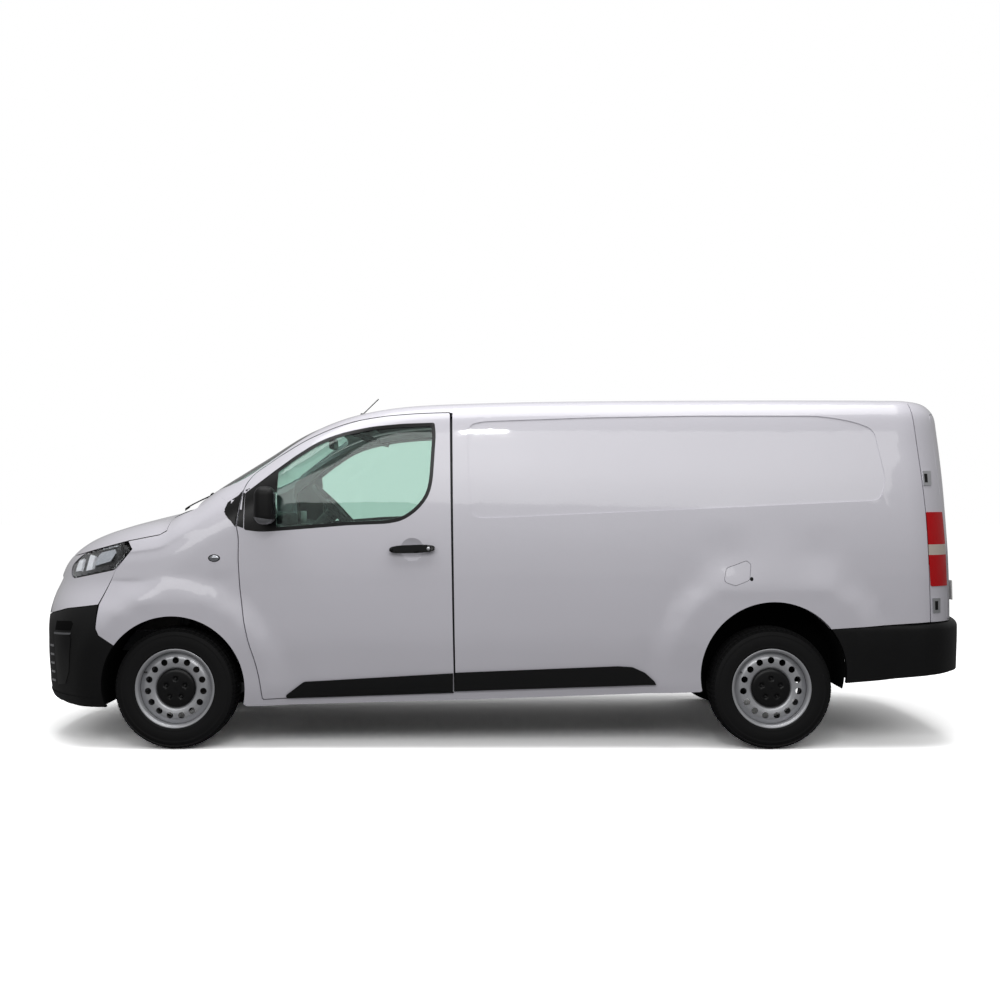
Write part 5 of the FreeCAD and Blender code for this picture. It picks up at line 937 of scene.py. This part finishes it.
for step in range(1, FINS):
    copy = bmesh.ops.duplicate(bm, geom=geom)["geom"]
    shift(bm, [g for g in copy if isinstance(g, bmesh.types.BMVert)], (0, 0, FIN_PITCH * step))
radiator = piece_from(bm, "radiator", dipped_primer, "van_body")
print("radiator faces", len(radiator.data.polygons))

# %% [markdown]
# Through the door glass the eye meets the cab: a dark dashboard with an instrument hood, a screen
# and air vents, sun visors under a grey headlining, and a mirror on the windscreen. The
# headlining is a sheet laid under the roof by rays from below.

# %% The cab
LINING_GAP, LINING_WALL = 0.004, 0.003
VISOR_TILT = math.radians(14)
bm = bmesh.new()
bmesh.ops.create_grid(bm, x_segments=24, y_segments=36, size=0.5)
bmesh.ops.scale(bm, vec=(0.60, 1.16, 1), verts=bm.verts)
shift(bm, bm.verts, (-0.48, 0, 1.30))
fitted(bm, carrier("roof_panel", "cab_frame"), (0, 0, 1), LINING_GAP)
backed(bm, (0, 0, -1), LINING_WALL)
headlining = piece_from(bm, "headlining", headliner_knit, "van_body")
lining_low = min(v.co.z for v in headlining.data.vertices)

for side, word in sides:
    bm = bmesh.new()
    block(bm, (-0.075, -0.19, -0.010), (0.075, 0.19, 0.010), 0.009)
    turn(bm, bm.verts, VISOR_TILT, "Y")
    shift(bm, bm.verts, (-0.800, side * 0.40, 1.745))
    piece_from(bm, "sun_visor_" + word, headliner_knit, "van_body")

dash_low, dash_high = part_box("dashboard")
print("dashboard", [round(v, 3) for v in dash_low], [round(v, 3) for v in dash_high])
dash_tree = carrier("dashboard")


def on_dash(x, y):
    """The top of the dashboard at a place."""
    return dash_tree.ray_cast(Vector((x, y, 1.9)), Vector((0, 0, -1)))[0].z


top = on_dash(-1.28, -0.40)
rounded_box("instrument_hood", (-1.33, -0.56, top - 0.02), (-1.20, -0.24, top + 0.062), 0.026,
            cab_plastic, "van_body", 5)
top = on_dash(-1.22, 0)
rounded_box("centre_screen", (-1.225, -0.12, top - 0.02), (-1.205, 0.12, top + 0.075), 0.006,
            smooth_black_plastic_and_shade, "van_body")
bm = bmesh.new()
block(bm, (-0.015, -0.115, -0.035), (0.015, 0.115, 0.035), 0.012)
shift(bm, bm.verts, (-1.02, 0, 1.715))
neck = bmesh.ops.create_cone(bm, cap_ends=True, segments=16, radius1=0.008, radius2=0.006,
                             depth=0.05)["verts"]
shift(bm, neck, (-1.025, 0, 1.765))
piece_from(bm, "cab_mirror", smooth_black_plastic_and_shade, "van_body")
for side, word in sides:
    door_tree = carrier("front_door_" + word)
    bm = clipped_grid([(-1.15, 0.60), (-0.30, 0.60), (-0.30, 1.150), (-1.15, 1.150)], 0.03, 0)
    shift(bm, bm.verts, (0, side * 0.60, 0))
    fitted(bm, door_tree, (0, side, 0), LINING_GAP)
    backed(bm, (0, -side, 0), LINING_WALL)
    piece_from(bm, "door_card_" + word, cab_plastic, "door_" + word)
    door_inner = door_tree.ray_cast(Vector((-0.70, side * 0.5, 0.98)), Vector((0, side, 0)))[0].y
    near, far = sorted((door_inner - side * 0.058, door_inner - side * 0.002))
    rounded_box("arm_rest_" + word, (-0.95, near, 0.955), (-0.40, far, 1.005), 0.015,
                cab_plastic, "door_" + word)
print("cab dressed, lining at", round(lining_low, 3))

# %% [markdown]
# Seats are foam under stretched cloth. Each cushion starts as a box with rounded edges, a little
# smaller than the real one. It is remeshed evenly, blown up by a cloth simulation with pressure
# inside and no gravity, and no point may move further than 22 mm. Two sewn channels are then
# pressed in along its length, as upholsterers do to hold the cloth down.

# %% Seats
VOXEL = 0.009
CAP = 0.022
PRESSURE, LAST_FRAME = 4.0, 20
SMALLER = Vector((0.012, 0.012, 0.010))
CHANNEL_DEPTH, CHANNEL_WIDTH = 0.007, 0.008


def cushion(name, low, high, lean, channels):
    """A plump upholstered pad inside a box that leans back by an angle about its lower edge."""
    low, high = Vector(low), Vector(high)
    middle = (low + high) / 2
    bm = bmesh.new()
    block(bm, low + SMALLER, high - SMALLER, 0.030, 4)
    mesh = bpy.data.meshes.new(name)
    bm.to_mesh(mesh)
    bm.free()
    pad = bpy.data.objects.new(name, mesh)
    bpy.context.scene.collection.objects.link(pad)
    even = pad.modifiers.new("even", "REMESH")
    even.mode, even.voxel_size = "VOXEL", VOXEL
    graph = bpy.context.evaluated_depsgraph_get()
    rest_mesh = bpy.data.meshes.new_from_object(pad.evaluated_get(graph))
    pad.modifiers.clear()
    pad.data = rest_mesh
    rest = [v.co.copy() for v in rest_mesh.vertices]
    cloth = pad.modifiers.new("cloth", "CLOTH")
    cloth.settings.use_pressure = True
    cloth.settings.uniform_pressure_force = PRESSURE
    cloth.settings.effector_weights.gravity = 0.0
    cloth.point_cache.frame_start, cloth.point_cache.frame_end = 1, LAST_FRAME
    for step in range(1, LAST_FRAME + 1):
        bpy.context.scene.frame_set(step)
    graph = bpy.context.evaluated_depsgraph_get()
    blown = bpy.data.meshes.new_from_object(pad.evaluated_get(graph))
    pad.modifiers.clear()
    pad.data = blown
    for vert, start in zip(blown.vertices, rest):
        move = vert.co - start
        if move.length > CAP:
            vert.co = start + move.normalized() * CAP
    bpy.context.scene.frame_set(1)
    bm = bmesh.new()
    bm.from_mesh(pad.data)
    bpy.data.objects.remove(pad)
    bmesh.ops.smooth_vert(bm, verts=bm.verts, factor=0.5, use_axis_x=True, use_axis_y=True,
                          use_axis_z=True)
    bm.normal_update()
    for vert in bm.verts:
        for channel in channels:
            away = (vert.co.y - middle.y - channel) / CHANNEL_WIDTH
            depth = CHANNEL_DEPTH * math.exp(-away ** 2)
            vert.co -= vert.normal * depth
    turn(bm, bm.verts, lean, "Y", (middle.x, 0, low.z))
    made = piece_from(bm, name, seat_cloth, "van_body")
    smooth = made.modifiers.new("smooth", "SUBSURF")
    smooth.levels = smooth.render_levels = 1
    return made


BACK_LEAN, HEAD_LEAN = math.radians(12), math.radians(5)
HEAD_HALF, CHANNEL_INSET = 0.120, 0.11
seat_places = (("driver", -0.650, -0.150, (-0.400,)), ("bench", -0.060, 0.650, (0.125, 0.480)))
pads = []
for name, near, far, heads in seat_places:
    span = (far - near) / 2 - CHANNEL_INSET
    pads.append(cushion(name + "_cushion", (-0.896, near, 0.676), (-0.398, far, 0.818), 0,
                        (-span, span)))
    pads.append(cushion(name + "_back", (-0.442, near + 0.004, 0.775),
                        (-0.338, far - 0.004, 1.395), BACK_LEAN, (-span, span)))
    for i, y in enumerate(heads):
        pads.append(cushion("%s_head_rest_%d" % (name, i + 1), (-0.282, y - HEAD_HALF, 1.385),
                            (-0.200, y + HEAD_HALF, 1.520), HEAD_LEAN, ()))
for pad in pads:
    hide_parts("seats")
for i, y in enumerate(y for place in seat_places for y in place[-1]):
    bm = bmesh.new()
    for across in (-0.055, 0.055):
        stem = bmesh.ops.create_cone(bm, cap_ends=True, segments=16, radius1=0.006, radius2=0.006,
                                     depth=0.12)["verts"]
        shift(bm, stem, (-0.252, y + across, 1.375))
    piece_from(bm, "head_rest_stems_%d" % (i + 1), bright_zinc, "van_body")
print("seat pads", len(pads), "faces", sum(len(p.data.polygons) for p in pads))

# %% [markdown]
# The picture was taken from far enough away that the van looks almost flat: the camera stands
# 7.9 m from its middle, square on to its left side, with its axis 1.37 m above the floor. A
# 45.7 mm lens on a 36 mm sensor gives the same frame.

# %% Camera
lens = bpy.data.cameras.new("camera")
lens.lens, lens.sensor_width = 45.7, 36.0
lens.clip_end = 200
camera = bpy.data.objects.new("camera", lens)
camera.location = (0.0105, -7.870, 1.370)
camera.rotation_euler = (math.pi / 2, 0, 0)
bpy.context.scene.collection.objects.link(camera)
bpy.context.scene.camera = camera
print("camera", round(-camera.location.y, 2), "m away, lens", round(lens.lens, 1), "mm")

# %% [markdown]
# The floor is pale and takes the van's soft shadow. A camera ray sees a whiter floor than any
# other ray, so that it runs out to pure white and meets the white world with no edge, while
# the van itself still sees a plain grey floor. The floor is whitest far from the van, where
# little lamp light reaches it. One large soft lamp above and one beside the van light it at a
# plain level, and a small soft lamp leaves the bright spot near the top of the side recess.

# %% Floor and light
FLOOR_HALF = 60
STUDIO_FILL = 0.37
FADE_START, FADE_END, FADE_LOW = 3.6, 8.0, 0.45
bm = bmesh.new()
bmesh.ops.create_grid(bm, x_segments=1, y_segments=1, size=FLOOR_HALF)
mesh = bpy.data.meshes.new("studio_floor")
bm.to_mesh(mesh)
bm.free()
floor = bpy.data.objects.new("studio_floor", mesh)
bpy.context.scene.collection.objects.link(floor)
floor_paint = bpy.data.materials.new("studio_floor_paint")
floor_paint.use_nodes = True
tree = floor_paint.node_tree
tree.nodes.clear()
seen = add(tree, "LightPath").outputs["Is Camera Ray"]
grey = add(tree, "BsdfDiffuse", inputs={"Color": linear("#808080")})
white = add(tree, "BsdfDiffuse", inputs={"Color": linear("#F4F4F4")})
reach = add(tree, "VectorMath", {"operation": "LENGTH"},
            {0: add(tree, "TexCoord").outputs["Object"]})
share = add(tree, "MapRange", inputs={"Value": reach.outputs["Value"], "From Min": FADE_START,
                                      "From Max": FADE_END, "To Min": FADE_LOW, "To Max": 1.0})
dim = add(tree, "BsdfDiffuse", inputs={"Color": share.outputs["Result"]})
pale = add(tree, "AddShader", inputs={0: white.outputs[0], 1: white.outputs[0]})
pale = add(tree, "AddShader", inputs={0: dim.outputs[0], 1: pale.outputs[0]})
both = add(tree, "MixShader", inputs={0: seen, 1: grey.outputs[0], 2: pale.outputs[0]})
add(tree, "OutputMaterial", inputs={"Surface": both.outputs[0]})
floor.data.materials.append(floor_paint)

world = bpy.data.worlds.new("studio")
bpy.context.scene.world = world
world.use_nodes = True
tree = world.node_tree
seen = add(tree, "LightPath")
direct = add(tree, "Math", {"operation": "MAXIMUM"},
             {0: seen.outputs["Is Camera Ray"], 1: seen.outputs["Is Transmission Ray"]})
level = add(tree, "MapRange", inputs={"Value": direct.outputs[0], "To Min": STUDIO_FILL,
                                      "To Max": 1.0})
background = tree.nodes["Background"]
background.inputs["Color"].default_value = (1, 1, 1, 1)
tree.links.new(level.outputs["Result"], background.inputs["Strength"])


def lamp(name, place, aim, wide, tall, watts):
    """A soft rectangular lamp that looks at a point."""
    light = bpy.data.lights.new(name, "AREA")
    light.shape, light.size, light.size_y, light.energy = "RECTANGLE", wide, tall, watts
    made = bpy.data.objects.new(name, light)
    made.location = place
    made.rotation_euler = (Vector(aim) - Vector(place)).to_track_quat("-Z", "Y").to_euler()
    bpy.context.scene.collection.objects.link(made)


lamp("ceiling_panel", (0, -1.0, 5.5), (0, 0, 0), 7.0, 4.0, 250)
lamp("side_panel_light", (-0.7, -7.0, 4.1), (-0.4, 0, 1.0), 10.0, 2.0, 140)
lamp("recess_spot", (-0.17, -6.2, 4.78), (0, -0.9, 1.74), 0.50, 0.20, 20)
bpy.context.scene.view_settings.view_transform = "Standard"
